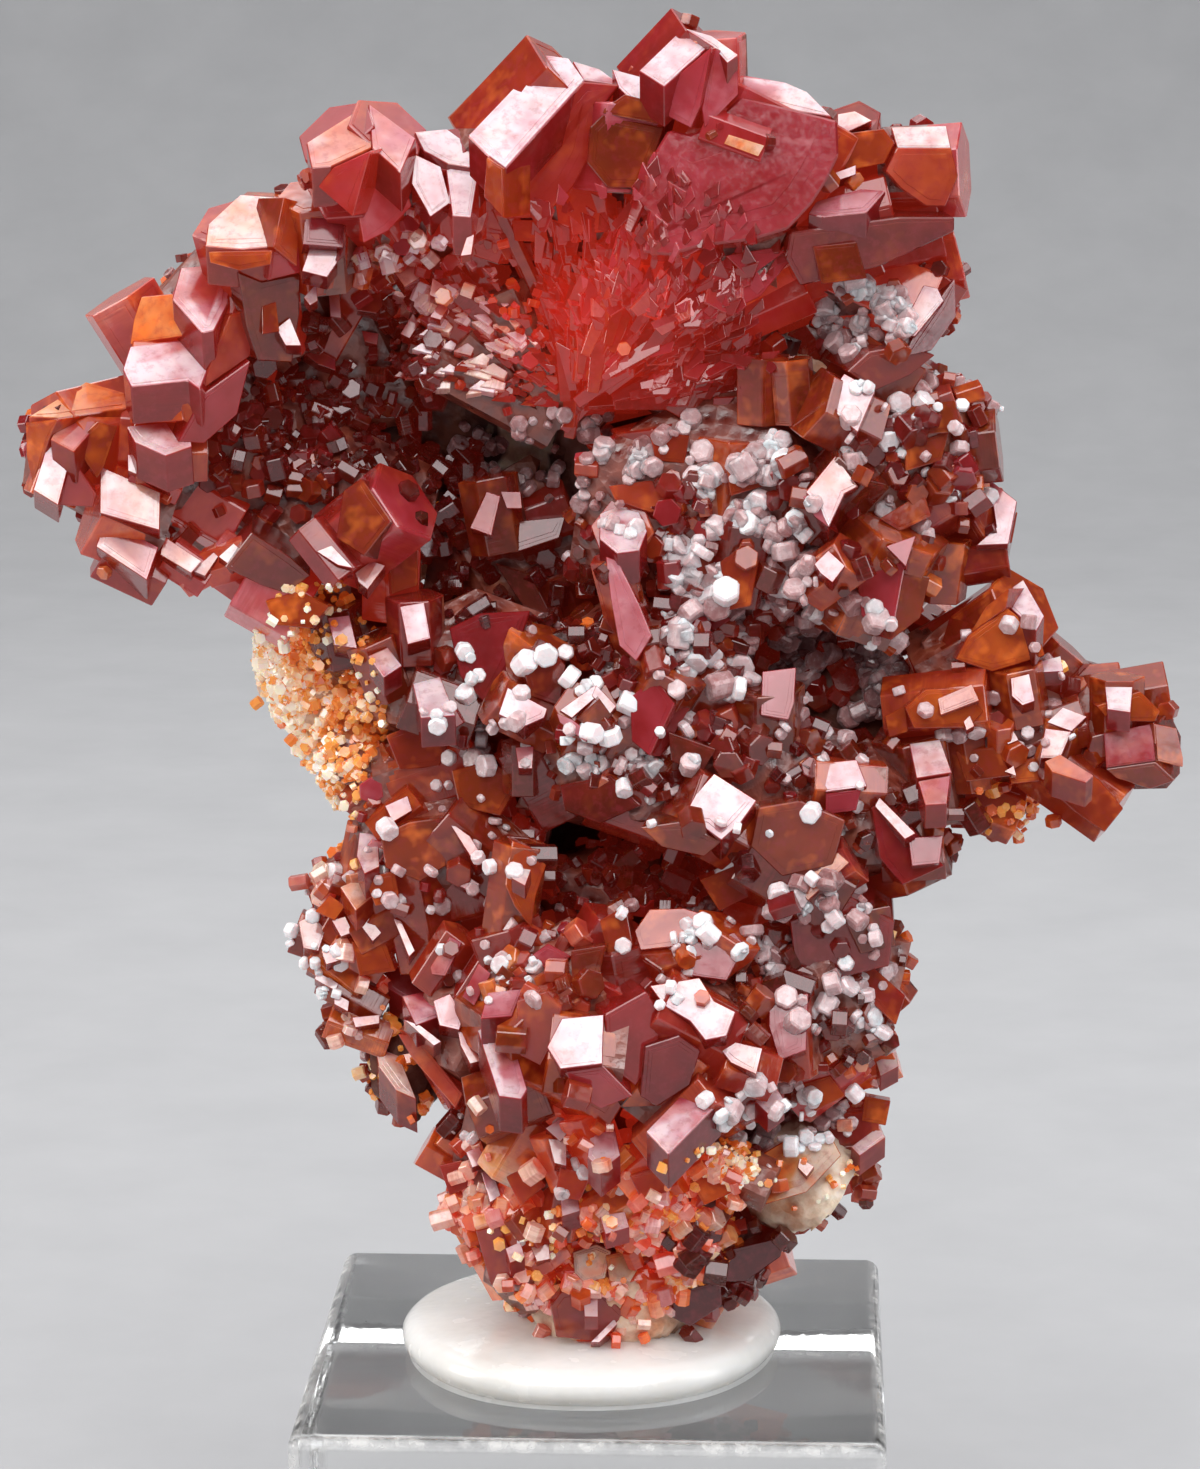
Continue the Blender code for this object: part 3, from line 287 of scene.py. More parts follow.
# Faces of the crystals that show most: how it lies (MIRROR the front lamp, SKY the upper one,
# or turn and rise of its normal in degrees), its outline as across, up, across, up ..., then
# tone (near 1 on a face that mirrors a lamp: partly a painted highlight), warmth (0 crimson,
# 1 amber) and painted glow
FACES = {
    "crown": [
        (MIRROR, (-35.7, 85.9, -34.3, 84.8, -35.2, 81.6, -36.8, 82.6), 1, 0.3, 0.08),
        (SKY, (-34.9, 87.2, -32.3, 87.1, -34.1, 85.1, -35.6, 85.9), 0.81, 0.3, 0.08),
        ((20, 5), (-34.1, 85.6, -32.5, 87.1, -31.2, 86.8, -32.1, 84.2, -32.6, 83.4),
            0.5, 0.9, 0.08),
        (SKY, (-37, 87.4, -33.2, 89.7, -30.7, 89, -30.5, 88, -32.3, 87.7, -35.1, 87.3),
            0.91, 0.9, 0.18),
        ((-35, 0), (-37.2, 87, -35.1, 87.2, -35.7, 85.9, -36.8, 82.7, -37.2, 84.8), 0.6, 0.9, 0.15),
        ((10, -5), (-35.2, 81.6, -34.2, 84.7, -32.7, 82.4, -32.9, 81.5), 0.6, 0.2, 0.15),
        (MIRROR, (-32.4, 84.2, -28.5, 82.5, -28.6, 80, -32.5, 81.1), 1, 0.3, 0.08),
        (MIRROR, (-30.6, 85, -27.7, 83.8, -27.9, 82.8, -30.6, 83.9), 1, 0.3, 0.08),
        (MIRROR, (-32.1, 80.7, -28.7, 78.9, -29.5, 76.7, -32.8, 78.9), 1, 0.3, 0.08),
        (MIRROR, (-28.3, 79.6, -25.9, 78, -26.6, 77.2, -28.6, 78.4), 1, 0.3, 0.08),
        (MIRROR, (-26.4, 77.3, -25.9, 77.9, -25.1, 78.6, -24.8, 78.3, -25.7, 77), 1, 0.3, 0),
        (MIRROR, (-24.8, 78.3, -23.8, 79.2, -22.9, 78.4, -23.9, 77.6), 1, 0.3, 0),
        (SKY, (-30.6, 86.8, -28, 87.1, -27.4, 86.1, -26.5, 86.6, -26.4, 85.5, -28.1, 84.9,
            -30.1, 85.8), 1.04, 0.2, 0.15),
        ((-8, 8), (-30.3, 89.3, -27.3, 89.6, -26.9, 87.2, -27.9, 87.1, -30.4, 87), 0.72, 0.65, 0.3),
        ((15, 0), (-27.3, 89.4, -25.8, 88.8, -26.1, 86.7, -26.9, 87.2), 0.6, 0.8, 0.15),
        (SKY, (-30.3, 92, -25.3, 92.7, -24.8, 91.8, -25.8, 89.2, -26.6, 89.8, -30.3, 89.4,
            -30.8, 90.5), 1.04, 0.1, 0.15),
        (SKY, (-26.9, 97.1, -23.6, 97.4, -23.9, 94.8, -24.8, 93.1, -25.6, 92.9, -27.5, 95.1),
            1.01, 0.2, 0.18),
        ((-20, 14), (-29.5, 95.2, -27.5, 95.4, -25.5, 92.9, -30.3, 92.1, -30, 93.8),
            0.85, 0.95, 0.52),
        ((30, 0), (-24.8, 91.8, -23.8, 94, -22.2, 94.6, -22.5, 91.4, -25.7, 89.2),
            0.55, 0.35, 0.15),
        ((25, -6), (-25.6, 88.9, -22.5, 91.1, -23.4, 87.6, -25.6, 85.7, -27.3, 85.8),
            0.55, 0.15, 0.15),
        (SKY, (-25.1, 99.9, -23, 101.8, -20.2, 101.6, -21, 98.5, -23.1, 98.3, -25.3, 98.5),
            1.01, 0.55, 0.22),
        ((-5, 0), (-25.1, 98.1, -21, 98.2, -21.1, 97.3, -23.1, 96.9, -25, 97.4), 0.6, 0.7, 0.22),
        ((35, 5), (-20.2, 101.6, -19.2, 101.3, -19.4, 97.2, -20.9, 98.4), 0.6, 0.8, 0.22),
        ((25, -5), (-21.1, 98.1, -19.3, 98.4, -19.2, 96.8, -21.3, 96.3), 0.62, 0.1, 0.22),
        ((10, 24), (-18.8, 100.8, -16.2, 99.8, -16.4, 98.4, -19, 98.6), 0.55, 0.1, 0),
        (MIRROR, (-18.5, 98.6, -16.8, 98.5, -16.8, 97.5, -17.5, 96.5, -19.1, 96.9), 1, 0.2, 0),
        ((25, -4), (-16.2, 99.7, -16.4, 98.4, -16.8, 97.5, -16.3, 97.9), 0.3, 0.2, 0),
        ((25, -5), (-23.2, 96.8, -21.7, 96.2, -19.2, 96.7, -19.3, 94, -19.8, 91, -22, 91.1,
            -22.7, 93.3), 0.3, 0.75, 0.04),
        ((12, 4), (-21.7, 94.6, -20.8, 94.9, -20.6, 93, -21.7, 92.8), 0.5, 0.7, 0.03),
        ((-15, 15), (-16.6, 82.7, -15.4, 83.5, -14.7, 82.5, -13.5, 80.7, -15.3, 78.4, -17.1, 79.6),
            0.48, 0.6, 0),
        (MIRROR, (-18.4, 78.7, -17.4, 79.1, -16, 77.6, -17, 77.8), 1, 0.3, 0),
        (MIRROR, (-15.9, 77.3, -14.8, 78.1, -13.9, 77.8, -15.1, 76.2, -15.7, 76.7), 1, 0.3, 0),
        ((5, -8), (-22.6, 79.9, -20.1, 78.3, -18.8, 77.1, -20.4, 75.9, -22, 76.4, -24.4, 77.6),
            0.36, 0.55, 0),
        ((20, 8), (-13.7, 78.6, -11.8, 78.8, -11.8, 76.5, -13.5, 75.9), 0.5, 0.95, 0.15),
        (MIRROR, (-20.8, 93.2, -19.9, 93.9, -19.2, 92.1, -20.2, 92.1), 1, 0.3, 0),
        (MIRROR, (-15.6, 95.4, -14.1, 95.5, -13.9, 94.7, -14.3, 94.2, -15.6, 94.4), 1, 0.3, 0),
        (MIRROR, (-17.4, 95.6, -16.7, 95.5, -16.6, 93.9, -17.3, 94), 1, 0.3, 0),
        (MIRROR, (-19.1, 91.6, -17.9, 91.8, -17, 91.2, -17, 90.5, -18.1, 90.9), 1, 0.3, 0),
        (MIRROR, (-15.3, 93.1, -14.2, 92.9, -14.3, 92.2, -15.1, 92.4), 1, 0.3, 0),
        (MIRROR, (-12.8, 92.9, -12, 94.2, -11.5, 93.7, -12.2, 92.6), 1, 0.3, 0),
        (MIRROR, (-11.7, 95.9, -10.9, 96.1, -10.8, 94.9, -11.5, 94.3), 1, 0.3, 0),
        (MIRROR, (-10.7, 96.5, -9.8, 95.9, -10.2, 95.1, -10.9, 95.4), 1, 0.3, 0),
        (MIRROR, (-10.9, 94, -10.2, 95, -9.7, 94.6, -10.2, 93.8), 1, 0.3, 0),
        (MIRROR, (-13, 97.9, -11.9, 97.5, -11.5, 96.5, -12.5, 95.9, -13.2, 96.9), 1, 0.3, 0),
        (MIRROR, (-14.2, 97.9, -13.3, 98, -13.2, 97.4, -14.1, 97.1), 1, 0.3, 0),
        (MIRROR, (-19, 95.2, -18.2, 96.1, -18.1, 95, -18.6, 94.7), 1, 0.3, 0),
        (MIRROR, (-15.9, 96.7, -15, 97, -14.8, 96.3, -15.6, 96.1), 1, 0.3, 0),
        ((0, 12), (-11.7, 89, -10.5, 90.3, -9.6, 89.4, -10.2, 88, -11.3, 88.1), 0.4, 0.1, 0),
        (SKY, (-18.7, 105.1, -14.7, 107.6, -14.5, 104.8, -17.1, 103.6, -18.4, 103.5),
            0.92, 0.4, 0.18),
        (SKY, (-14.7, 107.6, -11.7, 105.4, -12.7, 103.2, -14.5, 104.8), 0.94, 0.2, 0.15),
        ((10, 4), (-14.4, 104.7, -12.7, 103.2, -12, 101.1, -13.5, 99.5, -15.1, 98.7, -15.5, 101.1),
            0.78, 0.05, 0.38),
        ((-15, 0), (-17, 103.5, -14.6, 104.6, -15.6, 101.1, -15.8, 100.4, -18, 102.3),
            0.6, 0.3, 0.45),
        (SKY, (-11.8, 105.8, -9.7, 106, -7.2, 104.2, -7.7, 103.5, -9.7, 103.8, -11.2, 104.6),
            1.04, 0.2, 0),
        (MIRROR, (-11.8, 104.4, -10.1, 103.6, -9.5, 101.3, -10.8, 100.4, -12, 102.5), 1, 0.2, 0),
        (SKY, (-9.8, 103.6, -7.7, 103.4, -8.2, 100.4, -9.4, 100.5), 1.04, 0.15, 0.08),
        (MIRROR, (-8.1, 99.1, -7.9, 100.2, -7.1, 100.8, -7.5, 99.6), 1, 0.3, 0),
        (MIRROR, (-8.9, 97.9, -8.5, 99.1, -8, 99.3, -8.2, 98), 1, 0.3, 0),
        ((0, 5), (-3, 102.6, 0.8, 102.1, 0.5, 99.5, -2.5, 99.2), 0.46, 0.6, 0.38),
        (SKY, (-8.4, 105.6, -5.5, 108.6, -5, 108.4, -3.4, 110.7, -1.9, 110.5, -0.9, 109.1,
            -6, 103.5, -7.1, 104.3), 1.04, 0.1, 0.08),
        ((12, 3), (-6, 103.4, -1, 109, 1.3, 108.8, 0, 107.2, -0.6, 104.3, -1.7, 102.3, -3.5, 100.4,
            -6, 100.3), 0.56, 0.3, 0.18),
        ((-30, 0), (-7.2, 104.2, -6.1, 103.5, -6.1, 100.3, -7.4, 101.7), 0.55, 0.95, 0.15),
        ((0, 4), (-5.6, 100.2, -3.5, 100.2, -3.3, 98.8, -5.4, 98.9), 0.5, 0.95, 0.22),
        (SKY, (-1, 109.1, -1.7, 110.3, 0, 109.8, 1.4, 108.8), 1.01, 0.1, 0.08),
        (SKY, (0.8, 109.8, 3.1, 109.2, 3.8, 107.7, 2.1, 107.8, 1.2, 108.7), 1.04, 0.1, 0),
        ((6, 6), (-0.6, 106.1, 0.2, 106.9, 4.1, 106.1, 3.3, 103.7, 2.6, 102.3, 0.5, 102.3,
            -0.8, 103.9), 0.34, 1.1, 0.04),
        ((0, 10), (0.3, 107.3, 1.6, 108.2, 4.4, 107.5, 4.1, 106.3, 0.2, 107), 0.4, 0.7, 0.08),
        (SKY, (2.5, 109.7, 5.3, 112.4, 7.1, 111.4, 4.1, 108.7), 1.04, 0.1, 0.08),
        (SKY, (5.3, 112.4, 7.1, 111.9, 8.8, 110.7, 8.1, 110.2, 7.2, 111.2), 1.04, 0.25, 0.08),
        ((-14, 6), (4.1, 108.7, 7.1, 111.2, 6.4, 107.5, 5.8, 106.1, 4.4, 106.8), 0.74, 0.05, 0.15),
        ((14, 10), (7.2, 111.2, 8.8, 110.5, 8.8, 108.2, 6.7, 106.1, 6.5, 107.3), 0.8, 0.1, 0.18),
        (SKY, (8.9, 109.5, 11.8, 109, 13.2, 108.4, 14.7, 106.9, 12.7, 107.2, 8.9, 108.1),
            1.04, 0.1, 0.08),
        ((6, 15), (6.8, 106.1, 9, 108.1, 12.7, 107.2, 15.1, 106.6, 15.2, 104.4, 14.4, 102.7,
            13.5, 101.3, 12, 99.7, 9.7, 99, 6.4, 98.6, 4.4, 98, 2.8, 98.2, 3.1, 100.8, 2.3, 101.5,
            3, 103.7, 4.4, 106, 5.8, 105.7), 0.64, 0, 0.09),
        ((0, 4), (8.2, 105.7, 10.5, 105, 10.1, 104.3, 7.9, 105.1), 1, 1.3, 0.45),
        ((-5, 12), (0.1, 95.6, 1.3, 100.1, 3.2, 99.8, 2.6, 97.3, 1.6, 95), 0.72, 0.1, 0.38),
        ((8, 10), (3.5, 97.6, 7.8, 98.9, 6.4, 97.2, 4.4, 94.6, 2.7, 94.8), 0.66, 0.1, 0.52),
        ((14, 12), (7.2, 97.2, 9.4, 98.9, 11.9, 98.8, 12.2, 97.7, 10.3, 95.4, 8.1, 94.3, 6.7, 95),
            0.66, 0.05, 0.18),
        ((10, 20), (4.4, 94.5, 6.6, 96.1, 7.8, 94.8, 6.4, 93.7), 0.7, 0.1, 0.45),
        ((2, 16), (2.6, 94.6, 3.9, 97.3, 4.6, 96.6, 3.9, 94.1), 0.66, 0.1, 0.6),
        ((15, 8), (8.1, 98, 10.9, 98.5, 11.9, 98.3, 9.5, 96.6), 0.7, 0.05, 0.12),
        (MIRROR, (15.1, 107, 16.2, 107.2, 17.3, 106.6, 15.6, 105.8, 15.1, 106.2), 1, 0.2, 0),
        ((-5, 4), (15.1, 105.7, 18, 106.1, 18.7, 105.2, 18.1, 103.9, 16, 103.5, 15, 103.7),
            0.62, 1, 0.15),
        (MIRROR, (14.7, 103.2, 16.3, 103.8, 16.3, 103.2, 14.8, 102.7), 1, 0.3, 0),
        (SKY, (18.5, 106.2, 22, 106.3, 22.3, 104.9, 18.9, 104.9), 1.04, 0.3, 0.08),
        ((8, 2), (18.9, 104.9, 22.3, 104.9, 22.8, 103.1, 22, 101.2, 20.8, 101.2, 19.2, 102.3,
            18.2, 103.4), 0.68, 0.45, 0.15),
        (SKY, (13.3, 100.7, 13.8, 101.5, 16.6, 102.3, 18.2, 102.2, 17, 100.8, 14.2, 100.5),
            0.86, 0.1, 0),
        ((12, -4), (12.2, 99.5, 19.1, 100.5, 22.6, 100.5, 22.6, 99.6, 18, 97.4, 12.9, 96.1,
            11.9, 97.9), 0.36, 0.3, 0.06),
        ((4, 2), (13.6, 98.6, 16.4, 98.9, 17.1, 96.6, 14.2, 96.2), 0.33, 1, 0.08),
        (MIRROR, (19.1, 93, 20.7, 96.2, 21.6, 96, 22, 95.2, 20.2, 92.9), 1, 0.2, 0),
        ((35, 0), (21.7, 95.2, 22.7, 96.6, 22.8, 94.2, 21.3, 92, 19.6, 91.6, 20.1, 92.8),
            0.36, 0.15, 0.04),
    ],
    "middle": [
        (MIRROR, (15.7, 90.5, 17.7, 89.4, 16.6, 86.7, 14.4, 88.6), 1, 0.2, 0),
        ((20, -5), (17.7, 89.4, 19.9, 90.4, 21.5, 91.7, 19.6, 92.3, 17.3, 91.9, 15.9, 90.6),
            0.45, 0.5, 0.03),
        (MIRROR, (13.3, 82.8, 15.2, 85.2, 16, 84.1, 16.7, 83.2, 15.8, 82.7, 14.8, 80.5, 14, 82),
            1, 0.2, 0),
        ((-20, 20), (13.1, 82.5, 13.9, 82.7, 14.8, 80.5, 13.9, 81.2), 0.8, 0.1, 0),
        (MIRROR, (25.1, 83.7, 26.9, 82.3, 26.4, 79.5, 24.3, 79.4, 25.6, 80.6), 1, 0.2, 0),
        (SKY, (0, 81.3, 1.2, 81.8, 2.6, 81.4, 3.1, 80.2, 2.6, 78.9, 1.2, 78.7, 0, 79.7),
            1.04, 0.1, 0),
        (MIRROR, (-6, 69.8, -3.4, 68.4, -3.6, 67.8, -4.9, 67.2, -6.6, 68), 1, 0.2, 0),
        (MIRROR, (-2.6, 68.3, -0.3, 70, 0, 69.4, -1.8, 67.8), 1, 0.2, 0),
        (MIRROR, (-0.2, 70, 1.1, 68.6, 0.7, 68.1, -0.5, 69.3), 1, 0.2, 0),
        ((-20, 20), (-2.8, 68.1, -1.8, 67.7, -0.5, 66.7, -0.9, 66.2, -2.6, 67.5), 0.9, 0.1, 0),
        ((10, 0), (-1.5, 67.7, 0, 69.1, 0.8, 68, -0.2, 66.9), 0.35, 0.8, 0),
        (MIRROR, (-5.5, 65.8, -4.3, 65.9, -4.4, 64.4, -5.3, 64.4), 1, 0.2, 0),
        (MIRROR, (7.5, 64.2, 10.3, 62.4, 9.2, 60.8, 8, 59.7, 6.9, 60.5, 5.3, 60.9, 6.3, 62.8),
            1, 0.2, 0),
        ((-10, -6), (2.7, 60.5, 5.4, 60.9, 8, 59.6, 6.9, 58.6, 4.1, 59.2), 0.42, 0.8, 0),
        (MIRROR, (14, 64.9, 16.8, 65.2, 17.5, 63.4, 14.8, 63), 1, 0.2, 0),
        ((0, 5), (14.8, 62.9, 17.1, 63.2, 16.8, 61.8, 14.8, 61.5), 0.66, 0.1, 0),
        (MIRROR, (13.9, 78.1, 14.8, 79, 15.9, 78, 15.1, 76.9, 14.3, 77.5), 1, 0.2, 0),
        ((0, 8), (3.3, 86.3, 4, 86.7, 5.8, 86.4, 5.5, 84.6, 3.6, 84.8), 0.5, 0.75, 0.05),
        ((10, 10), (8.2, 84.3, 9.4, 85.1, 10.6, 84.7, 10.7, 83.2, 8.5, 82.5), 0.52, 0.85, 0.04),
        (MIRROR, (9.2, 85.2, 9.5, 85.3, 9.8, 84, 9.6, 83.9), 1, 0.3, 0),
        ((0, 15), (0.6, 83.1, 3.3, 83.5, 5.9, 82, 3.3, 81.4, 1, 82.2), 0.6, 0.5, 0.05),
        ((-5, 8), (7.8, 78.2, 9.1, 79.2, 10.3, 78.3, 9.8, 75.3, 8.3, 75), 0.52, 0.7, 0.05),
        ((-5, 14), (16.6, 77.6, 19.8, 78.3, 19, 73.6, 17, 74.7), 0.72, 0, 0.1),
        ((25, 2), (19, 77.6, 21.4, 77.3, 20.8, 74.6, 18.9, 73.1), 0.42, 0.95, 0.02),
        ((5, 18), (18.1, 81.1, 20.9, 82.9, 21.4, 81.3, 19.4, 80.3), 0.62, 0.75, 0.08),
        ((-5, 24), (18.5, 79.3, 20.4, 80, 19.8, 78), 0.7, 0, 0),
        ((8, 14), (19.7, 85.8, 22.5, 86.9, 22, 84.9, 19.7, 84.2), 0.5, 0.95, 0.05),
        ((0, 12), (19.6, 88.3, 22.8, 88.8, 23.2, 86.8, 20, 86.5), 0.45, 0.95, 0.04),
        ((-5, 12), (0.4, 78.5, 1.2, 78.2, 2.6, 75.3, 3.4, 73.3, 2.4, 71.6, 1.3, 72.6, 0.7, 75.9),
            0.92, 0, 0.15),
        ((-5, 16), (-9.8, 73.7, -7.8, 74.7, -4.5, 74.9, -5.7, 71.2, -7.4, 68.6, -9.1, 70.5),
            0.5, 0.1, 0.03),
        ((15, 6), (-5.2, 71.9, -3.5, 72.9, -2.2, 71.3, -2.6, 68.6, -4.5, 69.2), 0.42, 0.5, 0.02),
        ((-12, 14), (2, 69.2, 3.6, 70.6, 4.9, 68.8, 3.3, 65.3, 2.1, 66.3), 0.62, 0.05, 0.08),
        ((25, 4), (4.9, 68.7, 5.9, 68.5, 4, 65.3, 3.4, 65.3), 0.5, 0.1, 0.05),
        ((0, 26), (10.6, 71, 12.8, 71.3, 12.7, 69, 12.3, 67.8, 10.5, 68.1), 0.75, 0.1, 0),
        ((0, 2), (10.4, 61.9, 13.1, 62.4, 16.1, 61.1, 15.3, 58.1, 12, 57.3, 9.9, 59.3),
            0.4, 1.1, 0.06),
        ((-8, 22), (12.8, 56.8, 15.6, 59, 16.4, 58.3, 13.7, 55.7), 0.85, 0.5, 0.05),
        ((12, 8), (17.8, 62, 19, 62.5, 22.6, 58.1, 19.9, 56.8, 18.4, 58.6), 0.52, 0.2, 0.03),
        (MIRROR, (18.3, 62.7, 20.7, 60.3, 20, 59.9, 18, 62.1), 1, 0.3, 0),
        ((5, 24), (20.2, 60, 22.5, 60.2, 22.3, 58.3, 20.5, 58.1), 0.72, 0.05, 0),
        ((0, 4), (4.5, 66.9, 7.6, 65.8, 6.6, 64, 4.7, 65), 0.3, 0.6, 0),
        ((-10, 8), (-2.6, 63.3, 0.7, 64, 2.7, 62, 0, 60.7, -2.3, 61.6), 0.35, 0.4, 0),
        ((-10, 8), (6.5, 74.6, 7.6, 75.3, 8.5, 74.4, 7.4, 73.6), 0.8, 0.1, 0),
        (MIRROR, (5, 74.8, 5.9, 75, 6.3, 74.4, 5.5, 73.8), 1, 0.2, 0),
        (MIRROR, (6.1, 75.6, 6.8, 76.1, 6.9, 75.3), 1, 0.2, 0),
        (MIRROR, (5.3, 78, 6, 78.2, 6.1, 77.5, 5.4, 77.5), 1, 0.2, 0),
        ((0, 20), (-8.4, 80.3, -7.3, 82.7, -6.4, 82.4, -7, 79.8), 0.8, 0.3, 0),
        ((5, 20), (-6.4, 82.7, -5.1, 82.7, -5, 81.6, -6, 81.6), 0.8, 0.3, 0),
        ((0, 26), (-7.5, 79.3, -5.1, 80.8, -2.2, 81.1, -2.6, 79.7, -5.2, 78.8), 0.32, 1.2, 0),
        ((-10, 10), (-6.8, 78, -4.5, 77.3, -3.2, 74.7, -4.5, 74.5), 0.34, 0.8, 0),
        (SKY, (26.7, 76.7, 27.4, 77.2, 28.8, 74.8, 28.3, 73.8, 26.4, 75.5), 1.04, 0.2, 0.03),
        ((5, 6), (23.1, 71.9, 23.9, 73.5, 26.4, 75.3, 28.4, 73.8, 28.9, 72.2, 25.5, 71.1),
            0.72, 1, 0.12),
        ((-25, 8), (25, 75.4, 26.5, 76.6, 26.3, 75.3, 24, 73.6), 0.7, 0.8, 0.1),
        (MIRROR, (26.7, 70.7, 27.9, 71, 28.3, 69.2, 27.5, 68.9, 26.8, 69.5), 1, 0.2, 0),
        (SKY, (28.5, 71.8, 29.9, 72.2, 30.1, 71.2, 28.8, 71.1), 1.04, 0.2, 0),
        (MIRROR, (30, 70.7, 31.1, 69.9, 30.6, 69.4, 29.9, 69.8), 1, 0.2, 0),
        ((5, 8), (19.9, 68.7, 21.2, 69.9, 23.6, 70, 25, 68.5, 24.1, 67.4, 20.5, 67.3),
            0.6, 0.95, 0.08),
        ((-4, 24), (22, 69.3, 24.2, 70.3, 24.7, 69.2, 22.2, 68.2), 0.85, 0.4, 0.03),
        (SKY, (20.2, 66.3, 22.2, 66.6, 23, 64.4, 20.7, 64), 1.04, 0.25, 0.03),
        (SKY, (20.8, 63.8, 22.9, 64.2, 22.7, 62.3, 21.3, 62.2), 0.91, 0.3, 0.03),
        (MIRROR, (29.1, 67.8, 30.1, 68.8, 31.7, 68.2, 30.7, 67.2), 1, 0.2, 0),
        (MIRROR, (29, 67.4, 30.7, 67.2, 30, 65.4, 28.7, 65.4), 1, 0.2, 0),
        (SKY, (32.8, 70.2, 34.6, 70.2, 34.5, 68.5, 33, 68.7), 1.04, 0.2, 0),
        ((5, 5), (32.3, 68.9, 35.1, 69.9, 36.4, 68.6, 36.1, 67.9, 33.2, 67.9), 0.55, 1, 0.05),
        ((-4, 20), (32.8, 67.1, 35.9, 67.8, 36.2, 65.3, 33, 64.8), 0.78, 0.25, 0),
        ((35, 5), (36, 67.8, 37.5, 67.5, 38, 65.5, 38, 64.9, 36.2, 65.3), 0.55, 0.95, 0.05),
        ((0, -20), (33, 64.7, 36.2, 65.2, 37.5, 64, 35.9, 63.4, 33.7, 64.1), 0.42, 0.9, 0.05),
        ((6, 10), (30.1, 65.6, 32.6, 64, 34.2, 62.1, 33, 60.5, 31.1, 61.8, 28.9, 63.8),
            0.55, 0.7, 0.06),
        (SKY, (29, 65.2, 30, 65.7, 32.2, 64.3, 31.7, 63.8, 29.5, 64.5), 0.81, 0.5, 0.03),
        ((0, 12), (23.2, 65.8, 26.1, 66.2, 26.8, 64.2, 23.9, 63.8), 0.52, 1, 0.06),
        ((0, 18), (26.4, 65.2, 28.4, 65.4, 28.7, 63.9, 26.9, 63.7), 0.6, 0.9, 0.06),
        (MIRROR, (26.3, 67, 26.9, 67.3, 27.3, 66.6, 26.6, 66.3), 1, 0.3, 0),
        (MIRROR, (26.4, 64.5, 27, 64.9, 27.2, 64.2), 1, 0.3, 0),
        (MIRROR, (23.7, 67.8, 24.1, 68.2, 24.4, 67.5, 23.9, 67.2), 1, 0.3, 0),
        ((0, 14), (18.6, 68.1, 19.9, 68.8, 20.1, 67.1, 18.9, 66.7), 0.5, 0.95, 0.05),
        (MIRROR, (-17.7, 74.3, -16.3, 74.5, -15.8, 72.3, -17.3, 72.5), 1, 0.2, 0),
        (MIRROR, (-13, 75.1, -11.4, 75.4, -11, 73, -12.5, 72.6), 1, 0.2, 0),
        (SKY, (-15.1, 71.8, -13.8, 72.4, -12.9, 71.2, -14.1, 70.4), 1.01, 0.2, 0),
        (SKY, (-12.2, 70, -10.4, 70.5, -9.4, 67.9, -11.7, 67.7), 1.04, 0.15, 0),
        ((0, 10), (-21.8, 75.4, -19.5, 76.1, -17.6, 75.1, -18.9, 73.6, -21.2, 73.8), 0.6, 1.1, 0.1),
        ((0, 10), (-14, 66.5, -11.7, 67.5, -9.7, 66.5, -10.5, 64.5, -13.1, 64.2), 0.6, 0.7, 0.06),
        ((0, 14), (-9.7, 64.2, -7.2, 64.9, -5.2, 63.6, -6.5, 61.2, -9.2, 61.8), 0.5, 0.9, 0.05),
    ],
    "lower": [
        (MIRROR, (-18.6, 56.2, -18, 56.5, -17.6, 55.1, -18.5, 55.1), 1, 0.3, 0),
        (MIRROR, (-19.9, 53.9, -19, 54.4, -18.1, 53.4, -18.6, 51.9, -19.6, 52.1), 1, 0.3, 0),
        (MIRROR, (-18.4, 51.9, -17.4, 52.6, -17.1, 51.3, -18.1, 51), 1, 0.3, 0),
        (MIRROR, (-17.7, 54, -16.8, 54.3, -16.3, 53.2, -17.1, 52.9), 1, 0.3, 0),
        (MIRROR, (-18.7, 50.5, -17.3, 49.7, -17.5, 49.2, -18.9, 50), 1, 0.3, 0),
        (MIRROR, (-17.6, 49.1, -16.6, 48.5, -16.7, 47.8, -17.6, 48.3), 1, 0.3, 0),
        (MIRROR, (-15.6, 54.7, -14.4, 53.2, -15, 52.6, -15.8, 53.7), 1, 0.3, 0),
        (MIRROR, (-13.6, 54.2, -13.1, 54, -12.2, 52, -12.6, 51.6), 1, 0.3, 0),
        (MIRROR, (-16.4, 47.4, -14.6, 47.6, -14.6, 47, -16.2, 46.7), 1, 0.3, 0),
        (SKY, (-15.8, 60, -14.6, 59.9, -14.5, 57.7, -15.5, 57.2, -16, 58.4), 1.04, 0.2, 0),
        (SKY, (-17.1, 56.3, -15.8, 56.9, -14.9, 55.7, -16.1, 54.7), 0.96, 0.6, 0.07),
        (MIRROR, (-14.1, 61.8, -12.6, 62.5, -12.3, 61.5, -13.6, 60.7), 1, 0.3, 0),
        ((5, 4), (-14.4, 59.8, -12.5, 60.7, -9.8, 61.1, -10.1, 57.8, -11.8, 56.7, -14.1, 57.6),
            0.5, 1, 0.08),
        (MIRROR, (-10, 60.9, -8.5, 59.8, -7.5, 58.1, -8.1, 57.8), 1, 0.3, 0),
        ((0, 24), (-9.8, 57.8, -7.9, 56.6, -8.1, 55.8, -9.7, 56.7), 0.8, 0.3, 0),
        ((10, 6), (-5.7, 59.5, -4.5, 59.1, -3.5, 57.9, -4.2, 55.8, -4.5, 53.6, -5.6, 55.1,
            -6.2, 56.5, -6, 58.1), 0.6, 0.7, 0.13),
